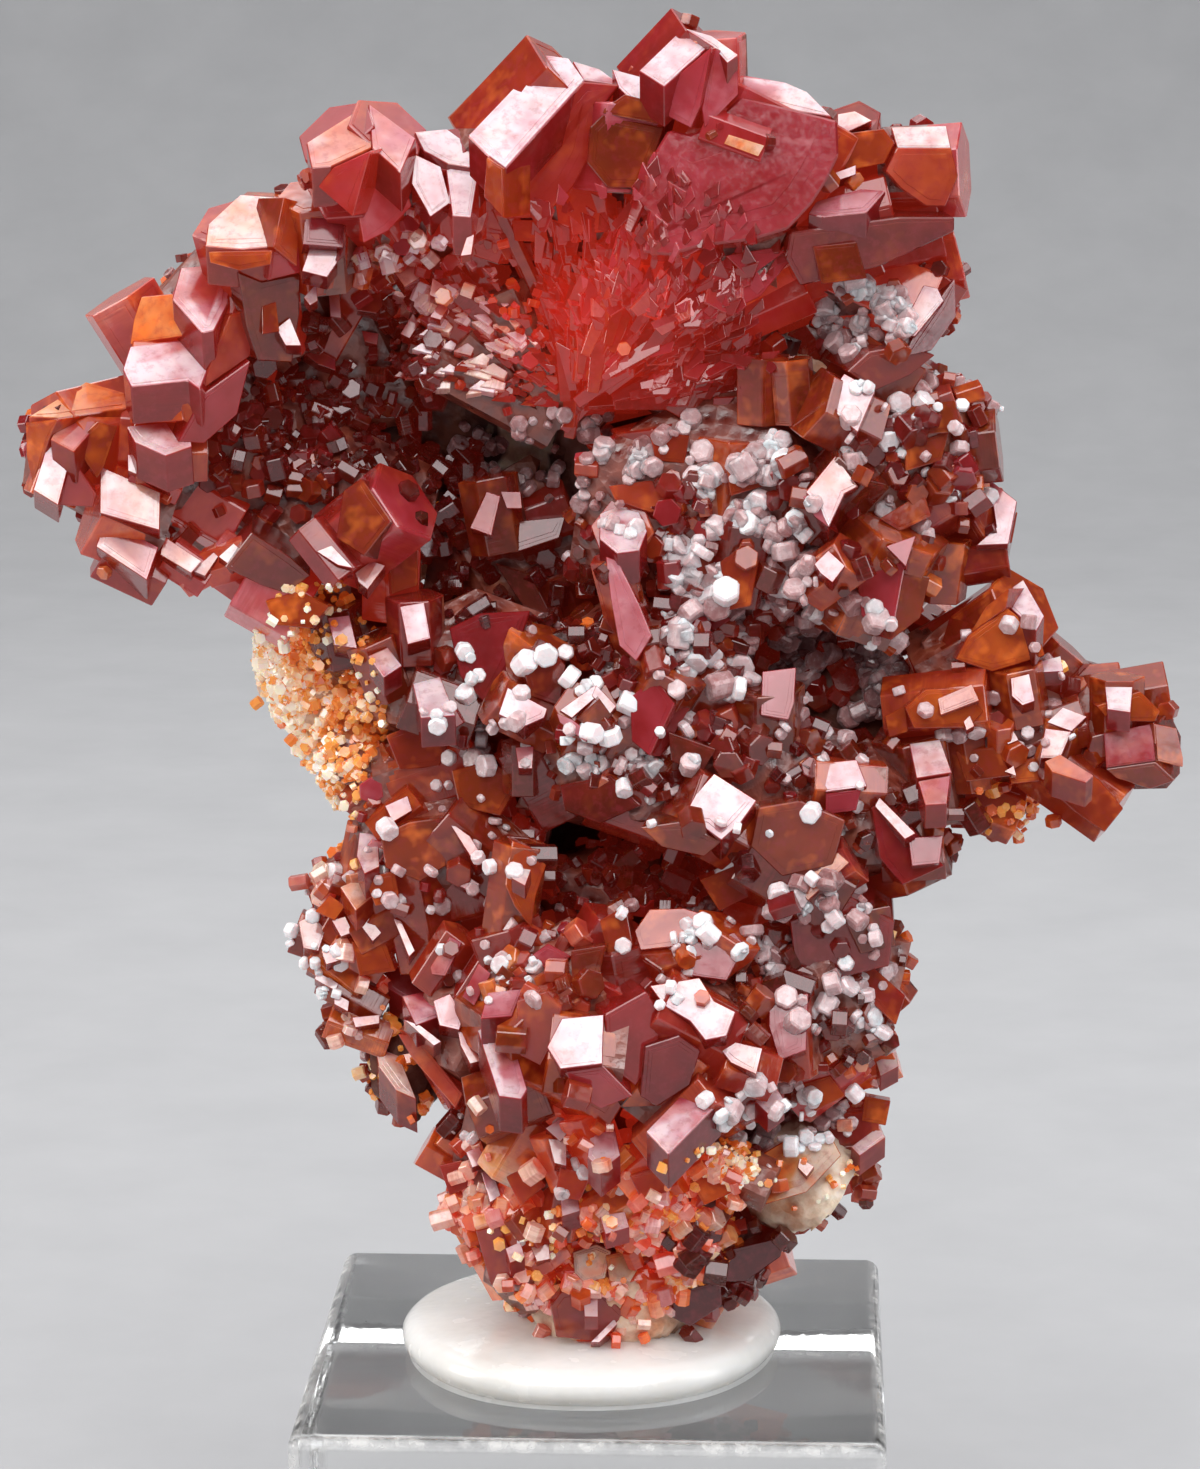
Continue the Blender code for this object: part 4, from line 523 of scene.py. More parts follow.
        (SKY, (-5.8, 57.8, -4.5, 57.6, -4.9, 56.5, -5.8, 57), 1.04, 0.2, 0),
        ((0, 16), (-18.8, 54.6, -17.8, 55.7, -16.8, 55, -17.5, 54), 0.7, 1.2, 0.13),
        ((0, 8), (-16.4, 52.6, -14.2, 52.7, -13.5, 50.6, -15.9, 50.2), 0.55, 0.9, 0.1),
        ((0, 8), (-15.5, 56.9, -13.5, 57.4, -13.2, 55.4, -14.8, 55), 0.6, 1, 0.1),
        (SKY, (-14.1, 50.8, -12, 51.1, -11.2, 49.3, -12.7, 48.6, -14, 49.4), 1.04, 0.2, 0),
        (SKY, (-13.1, 48.9, -11.2, 49.3, -10.4, 47.6, -12.2, 46.9), 0.96, 0.1, 0),
        ((-6, 20), (-11.2, 50.9, -9.9, 53, -9.1, 52.6, -10.2, 50.3, -11.1, 50.4), 0.85, 0.2, 0.04),
        ((-6, 20), (-9.1, 48.9, -8, 51.2, -7.2, 50.5, -8.3, 48.3), 0.85, 0.15, 0.04),
        (MIRROR, (-11, 48.6, -9.9, 49.1, -9, 47.6, -9.3, 46.6, -10.6, 46.9), 1, 0.2, 0),
        (MIRROR, (-13, 47.3, -11.9, 46.9, -10.5, 45.8, -11, 45.5), 1, 0.3, 0),
        (MIRROR, (-9.4, 46.6, -8.5, 46.1, -7.9, 44.5, -8.6, 44.3, -9.2, 45.5), 1, 0.2, 0),
        ((-10, 16), (-13.4, 46.3, -12.2, 46.2, -9.1, 42.2, -9.6, 41.2, -12.5, 44.7),
            0.78, 0.5, 0.07),
        (SKY, (-14.9, 45.4, -13.3, 44.8, -12.2, 41.8, -13.5, 42.4, -14.7, 44.1), 1.04, 0.4, 0.04),
        (SKY, (-7.4, 49.2, -5.1, 49.5, -5.8, 47.6, -7.9, 47.4), 0.91, 0.1, 0.04),
        (SKY, (-8.1, 46.6, -6.2, 47.6, -4.8, 42.6, -5.2, 41.9, -6.7, 42.1), 1.04, 0.15, 0),
        ((-4, 2), (-5.5, 48.6, -3.5, 49.3, -2.5, 48.3, -2.9, 46.3, -3.9, 44.2, -5.3, 44.9),
            0.55, 0.55, 0.16),
        (MIRROR, (-2.5, 47.5, 0.3, 47.8, 0.2, 44.4, -2.6, 44, -3.5, 45.5), 1, 0.2, 0),
        ((6, -12), (-2.3, 43.8, 0.2, 44.3, 2.2, 42.2, 0.1, 41.3, -1.3, 42.1), 0.68, 0.1, 0.1),
        ((18, 0), (0.4, 47.8, 3.1, 49.4, 4.1, 47.7, 3.8, 45, 2.4, 42.9, 0.4, 44.4), 0.5, 0.1, 0.2),
        ((8, 0), (3, 45.6, 5.3, 46.4, 6.7, 45.4, 6, 43, 3.8, 41.5, 2.7, 42.2), 0.34, 0.2, 0.04),
        ((-4, 26), (2.3, 53.5, 3.3, 55, 5.6, 55.1, 7.2, 54.6, 7.2, 53.5, 5.3, 52.5, 2.7, 52.2),
            0.8, 0.45, 0.05),
        ((6, 24), (5.4, 52.5, 8.9, 53.5, 9.6, 52.6, 8.4, 50.2, 6.1, 50.5), 0.7, 0.1, 0),
        (MIRROR, (3.3, 49.8, 6.6, 50.4, 7.6, 48.8, 9, 48.1, 8.4, 46.4, 7, 46.1, 6, 47.4, 4.3, 48.4),
            1, 0.2, 0),
        (MIRROR, (8.1, 45.4, 9, 46, 10.8, 45.6, 10.4, 43.8, 8.7, 44.6), 1, 0.2, 0),
        (SKY, (3.1, 39.8, 6.5, 43.5, 8.1, 42, 4.6, 38.2), 1.04, 0.15, 0),
        ((0, 24), (11.2, 49.1, 13.8, 49.4, 13.7, 45.5, 11.9, 44.8, 11.2, 47.1), 0.75, 0.1, 0),
        ((20, 10), (16.4, 51.6, 17.2, 52, 20.2, 49.3, 19.6, 47.3, 17.9, 48.9), 0.5, 0.5, 0.04),
        ((-4, 10), (0, 54.2, 1.7, 55.2, 2.2, 52.5, 0.6, 51.5), 0.5, 0.7, 0.07),
        ((-6, 6), (-1.9, 52.1, 0.4, 52.5, 0, 50.4, -1.8, 49.7), 0.42, 0.6, 0.03),
        ((0, 18), (-4.6, 51.7, -3.4, 52.6, -1.9, 51.8, -2.9, 50.3), 0.8, 0.2, 0),
        ((0, -4), (12.5, 54.3, 16.5, 56, 19.4, 54.4, 19.1, 51.3, 15.2, 50.3, 12.9, 51.3),
            0.46, 0.25, 0.03),
        ((4, 8), (6.6, 57, 8.9, 58, 10, 56, 7.9, 54.9), 0.5, 0.7, 0.07),
        ((15, 0), (16, 54.7, 19.1, 55.4, 19.5, 52.7, 17.2, 52.1), 0.3, 0.9, 0),
        ((0, 6), (-1.8, 31.3, -0.2, 31.9, 0.8, 31.4, 0.4, 29.5, -1, 29.1, -1.7, 29.9),
            1.12, 1.1, 0.03),
        ((12, 14), (0.4, 31.1, 1.9, 31.5, 2.7, 30.4, 2.1, 29.3, 0.7, 29.3), 1.05, 1.2, 0.03),
        ((10, 18), (9.5, 37.5, 12.7, 39.5, 15.3, 39.8, 16.1, 38.3, 13.8, 35.7, 10.7, 34.7,
            9.2, 35.7), 1.12, 1, 0.03),
        (MIRROR, (-3.6, 39.9, -2.5, 40.7, -1.7, 40.1, -2.6, 39), 1, 0.2, 0),
        (MIRROR, (-3.4, 39.2, -2.2, 39.1, -2.2, 37.3, -3, 37.5), 1, 0.2, 0),
        (SKY, (-0.6, 39.7, 1, 40.1, 1.4, 38.1, 0.1, 37, -0.8, 38), 1.01, 0.2, 0.07),
        (SKY, (-2.6, 35.1, -1.5, 35.7, -1.3, 34.2, -2.5, 33.8), 1.04, 0.2, 0),
        (MIRROR, (-7.9, 36.8, -7.2, 37.2, -6.6, 35.2, -7.3, 34.7), 1, 0.2, 0),
        (MIRROR, (-8.9, 38.2, -8, 38.6, -7.6, 37.5, -8.5, 37.1), 1, 0.3, 0),
        (MIRROR, (-4.6, 31.6, -3.4, 31.9, -3.3, 30.8, -4.2, 30.6), 1, 0.3, 0),
        (SKY, (-1.1, 28.2, -0.1, 28.3, -0.1, 26.8, -1, 26.8), 1.04, 0.15, 0),
        (MIRROR, (-0.6, 25, 1, 26.7, 1.2, 26.3, 0, 25), 1, 0.3, 0),
        ((5, -4), (-2.6, 28.5, 0, 28.9, 1.8, 26.9, -0.5, 25.1, -2.9, 25.3, -3.3, 27.5),
            0.45, 0.45, 0.1),
        ((-10, 0), (-8.3, 32.7, -6.7, 33.1, -5.3, 29.3, -6.3, 28.2, -7.3, 28.9), 0.5, 0.4, 0.1),
        ((0, 4), (8.1, 31.5, 12.4, 32.6, 12.1, 31.2, 9.8, 29.4, 7.8, 29.4, 6.7, 30.1), 0.2, 0, 0),
        ((0, 0), (5.1, 28.6, 8.1, 29.4, 8.2, 27.7, 6.1, 26.2, 4.7, 26.9), 0.2, 0, 0),
        (SKY, (16.7, 38.9, 18.6, 40.4, 19, 39.6, 17.3, 38.3), 1.04, 0.3, 0.04),
        (SKY, (18.3, 44.8, 19.6, 45.5, 19.8, 44.5, 18.6, 43.8), 1.04, 0.3, 0),
        (MIRROR, (13.3, 38.1, 14.3, 37.5, 13.8, 36.8, 13.2, 37.4), 1, 0.3, 0),
        (MIRROR, (1.9, 31.7, 3, 32.1, 3.5, 31.1, 2.7, 30.4), 1, 0.3, 0),
        (MIRROR, (8.9, 33.6, 9.7, 34, 9.9, 33.1, 9.1, 32.9), 1, 0.4, 0.07),
        ((0, 10), (-6.3, 36.6, -4.6, 37.3, -3.6, 35.9, -5.3, 34.5), 0.6, 0.5, 0.16),
        ((0, 10), (2, 36.7, 4, 37.4, 4.8, 35.7, 2.8, 35), 0.66, 0.4, 0.16),
        ((0, 14), (6, 36.4, 8, 37.1, 9, 35.7, 7, 34.7), 0.7, 0.9, 0.26),
        ((0, 8), (-2.6, 37.3, -0.6, 36.6, -1.3, 34.9, -3, 35.2), 0.6, 0.4, 0.2),
        (SKY, (0, 33.9, 1.7, 34.2, 2, 33.1, 0.4, 32.6), 1.01, 0.2, 0.1),
        (SKY, (-6.3, 31.5, -5.3, 32, -5, 30.9, -6, 30.5), 1.01, 0.2, 0.04),
        ((0, 8), (-10.7, 37.2, -9.2, 37.6, -8.7, 35.8, -10, 35.1), 0.6, 0.5, 0.16),
        ((0, 8), (17.6, 42.4, 19.3, 42.1, 19, 40.4, 17.4, 40.7), 0.6, 0.8, 0.07),
        ((0, 12), (13.3, 43.1, 15.3, 43.8, 16.3, 42.4, 14.3, 41.3), 0.6, 0.6, 0.07),
        (SKY, (10.3, 42, 11.6, 43.2, 12.3, 42, 11.2, 41.1), 1.04, 0.1, 0),
    ],
}

# Small crystals: kind, middle (across, up), half width, half height, how many are tried,
# least and greatest radius, then tone (0 dark, 1 bright), its spread, and painted glow
FIELDS = [
    (DRUSE, 9.5, 77, 5.5, 8.5, 620, 0.3584, 0.9936, 0.67, 0.4, 0),
    (DRUSE, 6.5, 83, 7.5, 4.5, 150, 0.336, 0.8556, 0.57, 0.4, 0),
    (DRUSE, 17, 72, 3, 4, 184, 0.3584, 0.8556, 0.62, 0.4, 0),
    (DRUSE, 17, 94, 3, 3, 226, 0.3584, 0.8556, 0.72, 0.35, 0),
    (DRUSE, 21, 86.5, 5.5, 6.5, 247, 0.3136, 0.8004, 0.72, 0.35, 0),
    (DRUSE, -2.5, 68.5, 9, 6, 308, 0.336, 0.8556, 0.82, 0.3, 0),
    (DRUSE, -2.5, 85.5, 7, 4, 184, 0.3136, 0.759, 0.47, 0.3, 0),
    (DRUSE, 12, 41, 5.5, 2.5, 230, 0.336, 0.828, 0.85, 0.3, 0),
    (DRUSE, 15, 51.5, 5, 6, 391, 0.336, 0.8556, 0.5, 0.35, 0),
    (DRUSE, 6, 52, 5, 4, 184, 0.3584, 0.8556, 0.87, 0.25, 0),
    (DRUSE, 26, 69, 5.5, 5.5, 82, 0.2912, 0.69, 0.62, 0.3, 0),
    (DRUSE, -11, 59, 7.5, 5, 123, 0.2912, 0.7176, 0.72, 0.3, 0),
    (DRUSE, -2.5, 52, 10, 4, 123, 0.2912, 0.7176, 0.72, 0.3, 0),
    (DRUSE, 10.5, 64, 9.5, 5.5, 165, 0.2912, 0.7176, 0.72, 0.3, 0),
    (DRUSE, -5.5, 37.5, 7.5, 5.5, 101, 0.2688, 0.621, 0.77, 0.3, 0),
    (EMBER, -21.5, 72.5, 1, 2.5, 120, 0.18, 0.42, 1.15, 0.2, 0),
    (EMBER, -20.5, 68, 1, 3.5, 150, 0.18, 0.42, 1.15, 0.2, 0),
    (EMBER, -18, 62, 1, 3, 120, 0.18, 0.42, 1.15, 0.2, 0),
    (DRUSE, -18.5, 52.5, 2, 4, 80, 0.24, 0.6, 1.1, 0.2, 0),
    (STUB, 17.5, 42, 1, 3, 60, 0.35, 0.7, 0.9, 0.3, 0.2),
    (STUB, 2.5, 57.5, 8, 2.5, 110, 0.4, 1, 0.22, 0.2, 0.05),
    (STUB, 4, 77, 6, 7, 120, 0.4, 1, 0.4, 0.3, 0.05),
    (STUB, -2.5, 33, 10, 5, 280, 0.25, 0.66, 1.05, 0.3, 0.7),
    (STUB, -12, 97.5, 4, 3.5, 210, 0.32, 0.7, 1.2, 0.5, 0.1),
    (STUB, -17, 90, 7, 8, 330, 0.35, 0.8, 0.16, 0.16, 0.02),
    (STUB, -10, 80, 5, 6, 110, 0.35, 0.85, 0.1, 0.1, 0),
    (STUB, -2.5, 75, 6, 4, 90, 0.35, 0.8, 0.1, 0.12, 0),
    (STUB, -22.5, 85.5, 5.5, 6, 110, 0.45, 1, 0.35, 0.3, 0.05),
    (STUB, -30.5, 81, 6, 4.5, 60, 0.4, 0.9, 0.5, 0.3, 0.1),
    (STUB, -2.5, 68, 10, 6, 260, 0.35, 0.95, 0.35, 0.3, 0.05),
    (STUB, 10.5, 76, 8.5, 9, 200, 0.4, 1, 0.3, 0.3, 0.05),
    (STUB, 20.5, 84.5, 6.5, 8, 200, 0.45, 1.1, 0.35, 0.3, 0.05),
    (STUB, 18.5, 98, 5.5, 5, 110, 0.4, 0.9, 0.35, 0.3, 0.1),
    (STUB, 13, 61.5, 11, 6, 200, 0.45, 1.1, 0.3, 0.3, 0.05),
    (STUB, 28, 67, 8.5, 6, 150, 0.4, 1, 0.5, 0.3, 0.12),
    (STUB, -11, 58, 8, 6, 190, 0.35, 0.9, 0.6, 0.35, 0.15),
    (STUB, -18, 51, 3.5, 7, 340, 0.3, 0.8, 1.3, 0.3, 0.35),
    (STUB, 0, 49, 12, 7.5, 330, 0.4, 1, 0.6, 0.35, 0.12),
    (STUB, 14.5, 49, 6, 7.5, 130, 0.4, 1, 0.25, 0.25, 0.03),
    (STUB, -0.5, 35.5, 10, 8.5, 640, 0.3, 0.8, 1.02, 0.35, 0.5),
    (STUB, -2.5, 29.5, 8.5, 5, 220, 0.3, 0.7, 1.02, 0.35, 0.5),
    (STUB, 9.5, 31, 4.5, 3.5, 60, 0.5, 1, 0.12, 0.1, 0),
    (STUB, 6.5, 102, 7.5, 5, 40, 0.25, 0.5, 0.5, 0.3, 0.15),
    (STUB, -4.5, 94, 7, 6, 60, 0.3, 0.6, 0.6, 0.25, 0.4),
    (EMBER, -18, 68.5, 4, 8.5, 1100, 0.16, 0.4, 0.8, 0.4, 0),
    (EMBER, -20, 71, 2.5, 5.5, 400, 0.14, 0.34, 0.95, 0.3, 0),
    (EMBER, 7.5, 37.5, 3, 2, 300, 0.14, 0.36, 0.75, 0.4, 0),
    (EMBER, 5, 31.5, 3.5, 4, 220, 0.16, 0.36, 0.7, 0.4, 0),
    (EMBER, -1.5, 33, 5.5, 4.5, 240, 0.16, 0.36, 0.7, 0.4, 0),
    (EMBER, 26.5, 62, 2.5, 2.5, 110, 0.2, 0.42, 0.5, 0.4, 0),
    (EMBER, 29.5, 61.5, 5, 2, 90, 0.2, 0.42, 0.4, 0.4, 0),
    (EMBER, 13.5, 37, 4, 2.5, 40, 0.16, 0.3, 0.7, 0.4, 0),
    (EMBER, 0, 31.5, 9.5, 3.5, 420, 0.2, 0.45, 0.65, 0.4, 0),
    (EMBER, -13.5, 44, 2.5, 5.5, 120, 0.2, 0.45, 0.5, 0.4, 0),
    (EMBER, 4, 35.5, 5.5, 4, 120, 0.2, 0.45, 0.7, 0.4, 0),
]


# The right edge of the rock low down: heights and how far out it goes (mm)
RIGHT_EDGE = (
    (28.7, 30.2, 32.6, 34.7, 36.9, 39.7, 41.7, 45.2),
    (7.4, 9.3, 10.7, 13.1, 15.4, 17.4, 17.8, 18.6),
)
# Where the rock is bare: across, up, half width, half height (mm)
BARE = (
    (-18.5, 68.5, 5.5, 8.5),
    (13.5, 37, 6, 5.5),
    (0, 30.5, 8, 3.5),
    (27, 61.5, 4, 2.5),
    (-19.5, 73, 3.5, 4),
)


# ---------------------------------------------------------------- shader sums
class Value:
    """A number socket that can be used in Python sums; each sum adds its Math node."""

    def __init__(self, finish, socket):
        self.finish = finish
        self.socket = socket

    def sum(self, operation, first, second):
        node = self.finish.node("ShaderNodeMath", {"operation": operation}, {0: first, 1: second})
        return Value(self.finish, node.outputs[0])

    def __add__(self, other):
        return self.sum("ADD", self, other)

    def __radd__(self, other):
        return self.sum("ADD", other, self)

    def __sub__(self, other):
        return self.sum("SUBTRACT", self, other)

    def __rsub__(self, other):
        return self.sum("SUBTRACT", other, self)

    def __mul__(self, other):
        return self.sum("MULTIPLY", self, other)

    def __rmul__(self, other):
        return self.sum("MULTIPLY", other, self)

    def most(self, other):
        return self.sum("MAXIMUM", self, other)

    def least(self, other):
        return self.sum("MINIMUM", self, other)


class Finish:
    """A material on one Principled shader, and the nodes that feed it."""

    def __init__(self, name, slot):
        self.material = bpy.data.materials.new(name)
        self.material.use_nodes = True
        self.tree = self.material.node_tree
        self.shader = self.tree.nodes["Principled BSDF"]
        self.slot = slot

    def node(self, kind, settings=None, values=None):
        """Any node: its settings are set first, then the values or links of its sockets."""
        made = self.tree.nodes.new(kind)
        for name, setting in (settings or {}).items():
            if name == "stops":
                ramp = made.color_ramp.elements
                while len(ramp) < len(setting):
                    ramp.new(0.5)
                for element, (place, colour) in zip(ramp, setting):
                    element.position = place
                    element.color = (*colour, 1.0)
            else:
                setattr(made, name, setting)
        for name, value in (values or {}).items():
            self.feed(made.inputs[name], value)
        return made

    def feed(self, socket, value):
        if isinstance(value, Value):
            value = value.socket
        if isinstance(value, bpy.types.NodeSocket):
            self.tree.links.new(value, socket)
        elif socket.type == "RGBA" and len(value) == 3:
            socket.default_value = (*value, 1.0)
        else:
            socket.default_value = value

    def set(self, **values):
        """Values and links of the shader; an underscore stands for a space."""
        for name, value in values.items():
            self.feed(self.shader.inputs[name.replace("_", " ")], value)

    def attribute(self, name, output="Fac"):
        found = self.node("ShaderNodeAttribute", {"attribute_name": name})
        return Value(self, found.outputs[output]) if output == "Fac" else found.outputs[output]

    def place(self):
        return self.node("ShaderNodeTexCoord").outputs["Object"]

    def stretched(self, vector, scale):
        return self.node("ShaderNodeMapping", {}, {"Vector": vector, "Scale": scale}).outputs[0]

    def noise(self, vector, scale, detail=3.0, rough=0.5):
        made = self.node("ShaderNodeTexNoise", {}, {
            "Vector": vector, "Scale": scale, "Detail": detail, "Roughness": rough})
        return Value(self, made.outputs["Fac"])

    def cells(self, vector, scale, feature="F1"):
        made = self.node("ShaderNodeTexVoronoi", {"feature": feature}, {
            "Vector": vector, "Scale": scale})
        return Value(self, made.outputs["Distance"])

    def ramp(self, value, stops):
        return self.node("ShaderNodeValToRGB", {"stops": stops}, {"Fac": value}).outputs["Color"]

    def between(self, value, low, high, start=0.0, end=1.0):
        """A number that goes from start to end as value goes from low to high."""
        made = self.node("ShaderNodeMapRange", {"clamp": True}, {
            "Value": value, "From Min": low, "From Max": high, "To Min": start, "To Max": end})
        return Value(self, made.outputs["Result"])

    def mix(self, share, first, second, blend="MIX"):
        made = self.node("ShaderNodeMix", {"data_type": "RGBA", "blend_type": blend})
        self.feed(made.inputs[0], share)
        self.feed(made.inputs[6], first)
        self.feed(made.inputs[7], second)
        return made.outputs[2]

    def bump(self, height, strength, distance):
        made = self.node("ShaderNodeBump", {}, {
            "Height": height, "Strength": strength, "Distance": distance})
        self.feed(self.shader.inputs["Normal"], made.outputs[0])


# ---------------------------------------------------------------- finishes
def vanadinite_finish():
    """Resinous crystal, crimson to amber, with growth lines; its bright faces are partly painted
    highlight, its red depth a painted glow.
    """
    finish = Finish("vanadinite", "vanadinite")
    tone = finish.attribute("tone")
    glow = finish.attribute("glow")
    warm = finish.attribute("warm")
    grain = finish.attribute("grain", "Vector")
    cloud = finish.noise(grain, 0.42, 2.0, 0.55)
    veil = finish.noise(finish.stretched(grain, (0.5, 0.5, 2.6)), 0.8, 3.0, 0.55)
    # The tone carries painted light: a pale base on faces turned to mirror a lamp (painted
    # highlight), darker in gaps and on walls behind a face (painted shade)
    depth = tone + cloud * 0.40 + veil * 0.16 - 0.33
    crimson = finish.ramp(depth, [
        (0.00, (0.018, 0.002, 0.002)), (0.22, (0.066, 0.004, 0.004)),
        (0.48, (0.175, 0.008, 0.011)), (0.70, (0.285, 0.031, 0.047)),
        (0.88, (0.440, 0.170, 0.200)), (1.00, (0.630, 0.495, 0.530)),
    ])
    amber = finish.ramp(depth, [
        (0.00, (0.018, 0.004, 0.001)), (0.22, (0.070, 0.011, 0.002)),
        (0.48, (0.210, 0.030, 0.004)), (0.70, (0.460, 0.092, 0.012)),
        (0.88, (0.600, 0.260, 0.088)), (1.00, (0.680, 0.520, 0.410)),
    ])
    tint = finish.noise(grain, 0.30, 2.0, 0.5)
    colour = finish.mix(finish.between(warm + tint * 0.9 - 0.45, 0.15, 0.85), crimson, amber)
    # Painted glints: amber light inside warm crystals of middle tone, laid into the colour and the
    # emission
    painted_glint_mask = finish.between(finish.noise(grain, 0.55, 2.0, 0.6), 0.54, 0.70)
    lit = painted_glint_mask * finish.between(warm, 0.15, 0.9) * finish.between(tone, 0.18, 0.60)
    colour = finish.mix(lit * 0.65, colour, (0.720, 0.200, 0.030))
    lines = finish.noise(finish.stretched(grain, (0.25, 0.25, 7.0)), 1.0, 2.0, 0.5)
    ribbed = finish.between(finish.noise(grain, 0.18), 0.48, 0.58)
    streak = finish.between(lines, 0.38, 0.58, 0.30, 0.0) * ribbed
    colour = finish.mix(streak, colour, (0.150, 0.012, 0.010))
    speckle = finish.between(finish.noise(grain, 1.5, 4.0, 0.65), 0.50, 0.66, 0.0, 0.34)
    colour = finish.mix(speckle, colour, (0.200, 0.020, 0.030))
    finish.set(Base_Color=colour)
    pits = finish.noise(grain, 3.2, 3.0, 0.6)
    finish.set(Roughness=finish.between(pits, 0.35, 0.75, 0.06, 0.20))
    finish.set(Coat_Weight=finish.between(tone, 0.62, 1.0, 0.0, 0.40))
    finish.bump(lines * ribbed + pits * 0.05, 0.16, 0.0001)
    # Painted glow: the emission stands for light passing through the crystals, strongest at the
    # fan's heart
    finish.set(Emission_Color=finish.mix(
        finish.between(glow + lit * 0.18, 0.0, 1.0), (0.060, 0.003, 0.0015), (1.0, 0.045, 0.018)))
    finish.set(
        IOR=2.3, Specular_IOR_Level=0.22, Specular_Tint=(1.0, 0.90, 0.92), Emission_Strength=0.38,
        Coat_IOR=1.9, Coat_Roughness=0.06,
        Subsurface_Weight=0.35, Subsurface_Radius=(1.0, 0.16, 0.08), Subsurface_Scale=0.0018,
    )
    return finish


def druse_finish():
    """Frosty lilac-white druse."""
    finish = Finish("druse", "vanadinite")
    tone = finish.attribute("tone")
    grain = finish.attribute("grain", "Vector")
    cloud = finish.noise(grain, 1.6, 3.0, 0.6)
    # The tone is darkened in gaps as painted shade
    colour = finish.ramp(tone * 0.9 + cloud * 0.6 - 0.20, [
        (0.0, (0.130, 0.030, 0.026)), (0.35, (0.340, 0.160, 0.160)),
        (0.65, (0.600, 0.430, 0.440)), (1.0, (0.880, 0.800, 0.820)),
    ])
    finish.set(Base_Color=colour)
    finish.set(Roughness=finish.between(cloud, 0.3, 0.7, 0.12, 0.36))
    finish.bump(finish.noise(grain, 4.0, 3.0, 0.6), 0.3, 0.0001)
    finish.set(
        IOR=1.75, Subsurface_Weight=0.55, Subsurface_Radius=(1.0, 0.45, 0.4),
        Subsurface_Scale=0.0010, Sheen_Weight=0.4, Sheen_Roughness=0.4,
    )
    return finish


def ember_finish():
    """Tiny orange and yellow crystals of the crust, with a painted glow."""
    finish = Finish("orange_crust", "vanadinite")
    tone = finish.attribute("tone")
    grain = finish.attribute("grain", "Vector")
    cloud = finish.noise(grain, 1.3, 3.0, 0.6)
    colour = finish.ramp(tone + cloud * 0.4 - 0.2, [
        (0.0, (0.420, 0.050, 0.010)), (0.35, (0.780, 0.160, 0.020)),
        (0.70, (0.900, 0.380, 0.090)), (1.0, (0.940, 0.800, 0.640)),
    ])
    finish.set(Base_Color=colour)
    finish.set(Roughness=finish.between(cloud, 0.3, 0.7, 0.12, 0.30))
    # Painted glow: the crystals emit a share of their own colour
    finish.set(Emission_Color=finish.mix(0.4, (0.0, 0.0, 0.0), colour))
    finish.set(
        IOR=2.0, Emission_Strength=0.35, Subsurface_Weight=0.5,
        Subsurface_Radius=(1.0, 0.35, 0.1), Subsurface_Scale=0.001,
    )
    return finish


def rock_finish():
    """Cream granular rock, stained orange in patches."""
    finish = Finish("matrix_rock", "matrix_rock")
    place = finish.place()
    stain = finish.noise(place, 150.0, 5.0, 0.6)
    speck = finish.noise(place, 900.0, 4.0, 0.65)
    grit = finish.cells(place, 1500.0)
    pale = finish.ramp(speck, [
        (0.25, (0.640, 0.430, 0.290)), (0.5, (0.860, 0.690, 0.530)),
        (0.8, (0.940, 0.880, 0.800)),
    ])
    orange = finish.ramp(speck, [
        (0.25, (0.330, 0.060, 0.018)), (0.55, (0.640, 0.200, 0.050)),
        (0.85, (0.820, 0.430, 0.170)),
    ])
    colour = finish.mix(finish.between(stain, 0.46, 0.66), pale, orange)
    dark = finish.ramp(stain, [(0.3, (0.030, 0.006, 0.004)), (0.7, (0.140, 0.030, 0.014))])
    bare = finish.attribute("bare")
    finish.set(Base_Color=finish.mix(
        finish.between(bare + stain * 0.5, 0.30, 0.75), dark, colour))
    finish.set(Roughness=finish.between(grit, 0.1, 0.6, 0.38, 0.75))
    finish.bump(speck * 0.8 + grit * 0.7, 0.6, 0.00025)
    finish.set(
        Subsurface_Weight=0.15, Subsurface_Radius=(1.0, 0.5, 0.25), Subsurface_Scale=0.0006,
    )
    return finish


def bed_finish():
    """The dark crystal mass between the crystals."""
    finish = Finish("crystal_bed", "vanadinite")
    place = finish.place()
    patch = finish.noise(place, 260.0, 4.0, 0.6)
    cell = finish.cells(place, 900.0)
    colour = finish.ramp(patch * 0.8 + cell * 0.35, [
        (0.2, (0.036, 0.005, 0.003)), (0.45, (0.110, 0.013, 0.007)),
        (0.7, (0.240, 0.036, 0.012)), (1.0, (0.400, 0.120, 0.045)),
    ])
    finish.set(Base_Color=colour)
    finish.set(Roughness=finish.between(cell, 0.0, 0.6, 0.18, 0.5))
    finish.bump(cell * 0.8 + finish.noise(place, 1800.0) * 0.4, 0.7, 0.0004)
    finish.set(IOR=2.0)
    return finish


def putty_finish():
    """Milky, slightly see-through putty with a soft gloss."""
    finish = Finish("milky_putty", "milky_putty")
    place = finish.place()
    cloud = finish.noise(place, 120.0, 4.0, 0.55)
    dust = finish.cells(place, 1400.0)
    colour = finish.ramp(cloud, [
        (0.25, (0.640, 0.625, 0.595)), (0.55, (0.800, 0.790, 0.765)),
        (0.85, (0.880, 0.870, 0.850)),
    ])
    finish.set(Base_Color=colour)
    finish.set(Roughness=finish.between(finish.noise(place, 420.0), 0.3, 0.7, 0.10, 0.32))
    finish.bump(cloud * 1.0 + dust * 0.1, 0.25, 0.0006)
    finish.set(
        IOR=1.48, Subsurface_Weight=0.7, Subsurface_Radius=(1.0, 0.92, 0.82),
        Subsurface_Scale=0.0035, Coat_Weight=0.3,
    )
    return finish


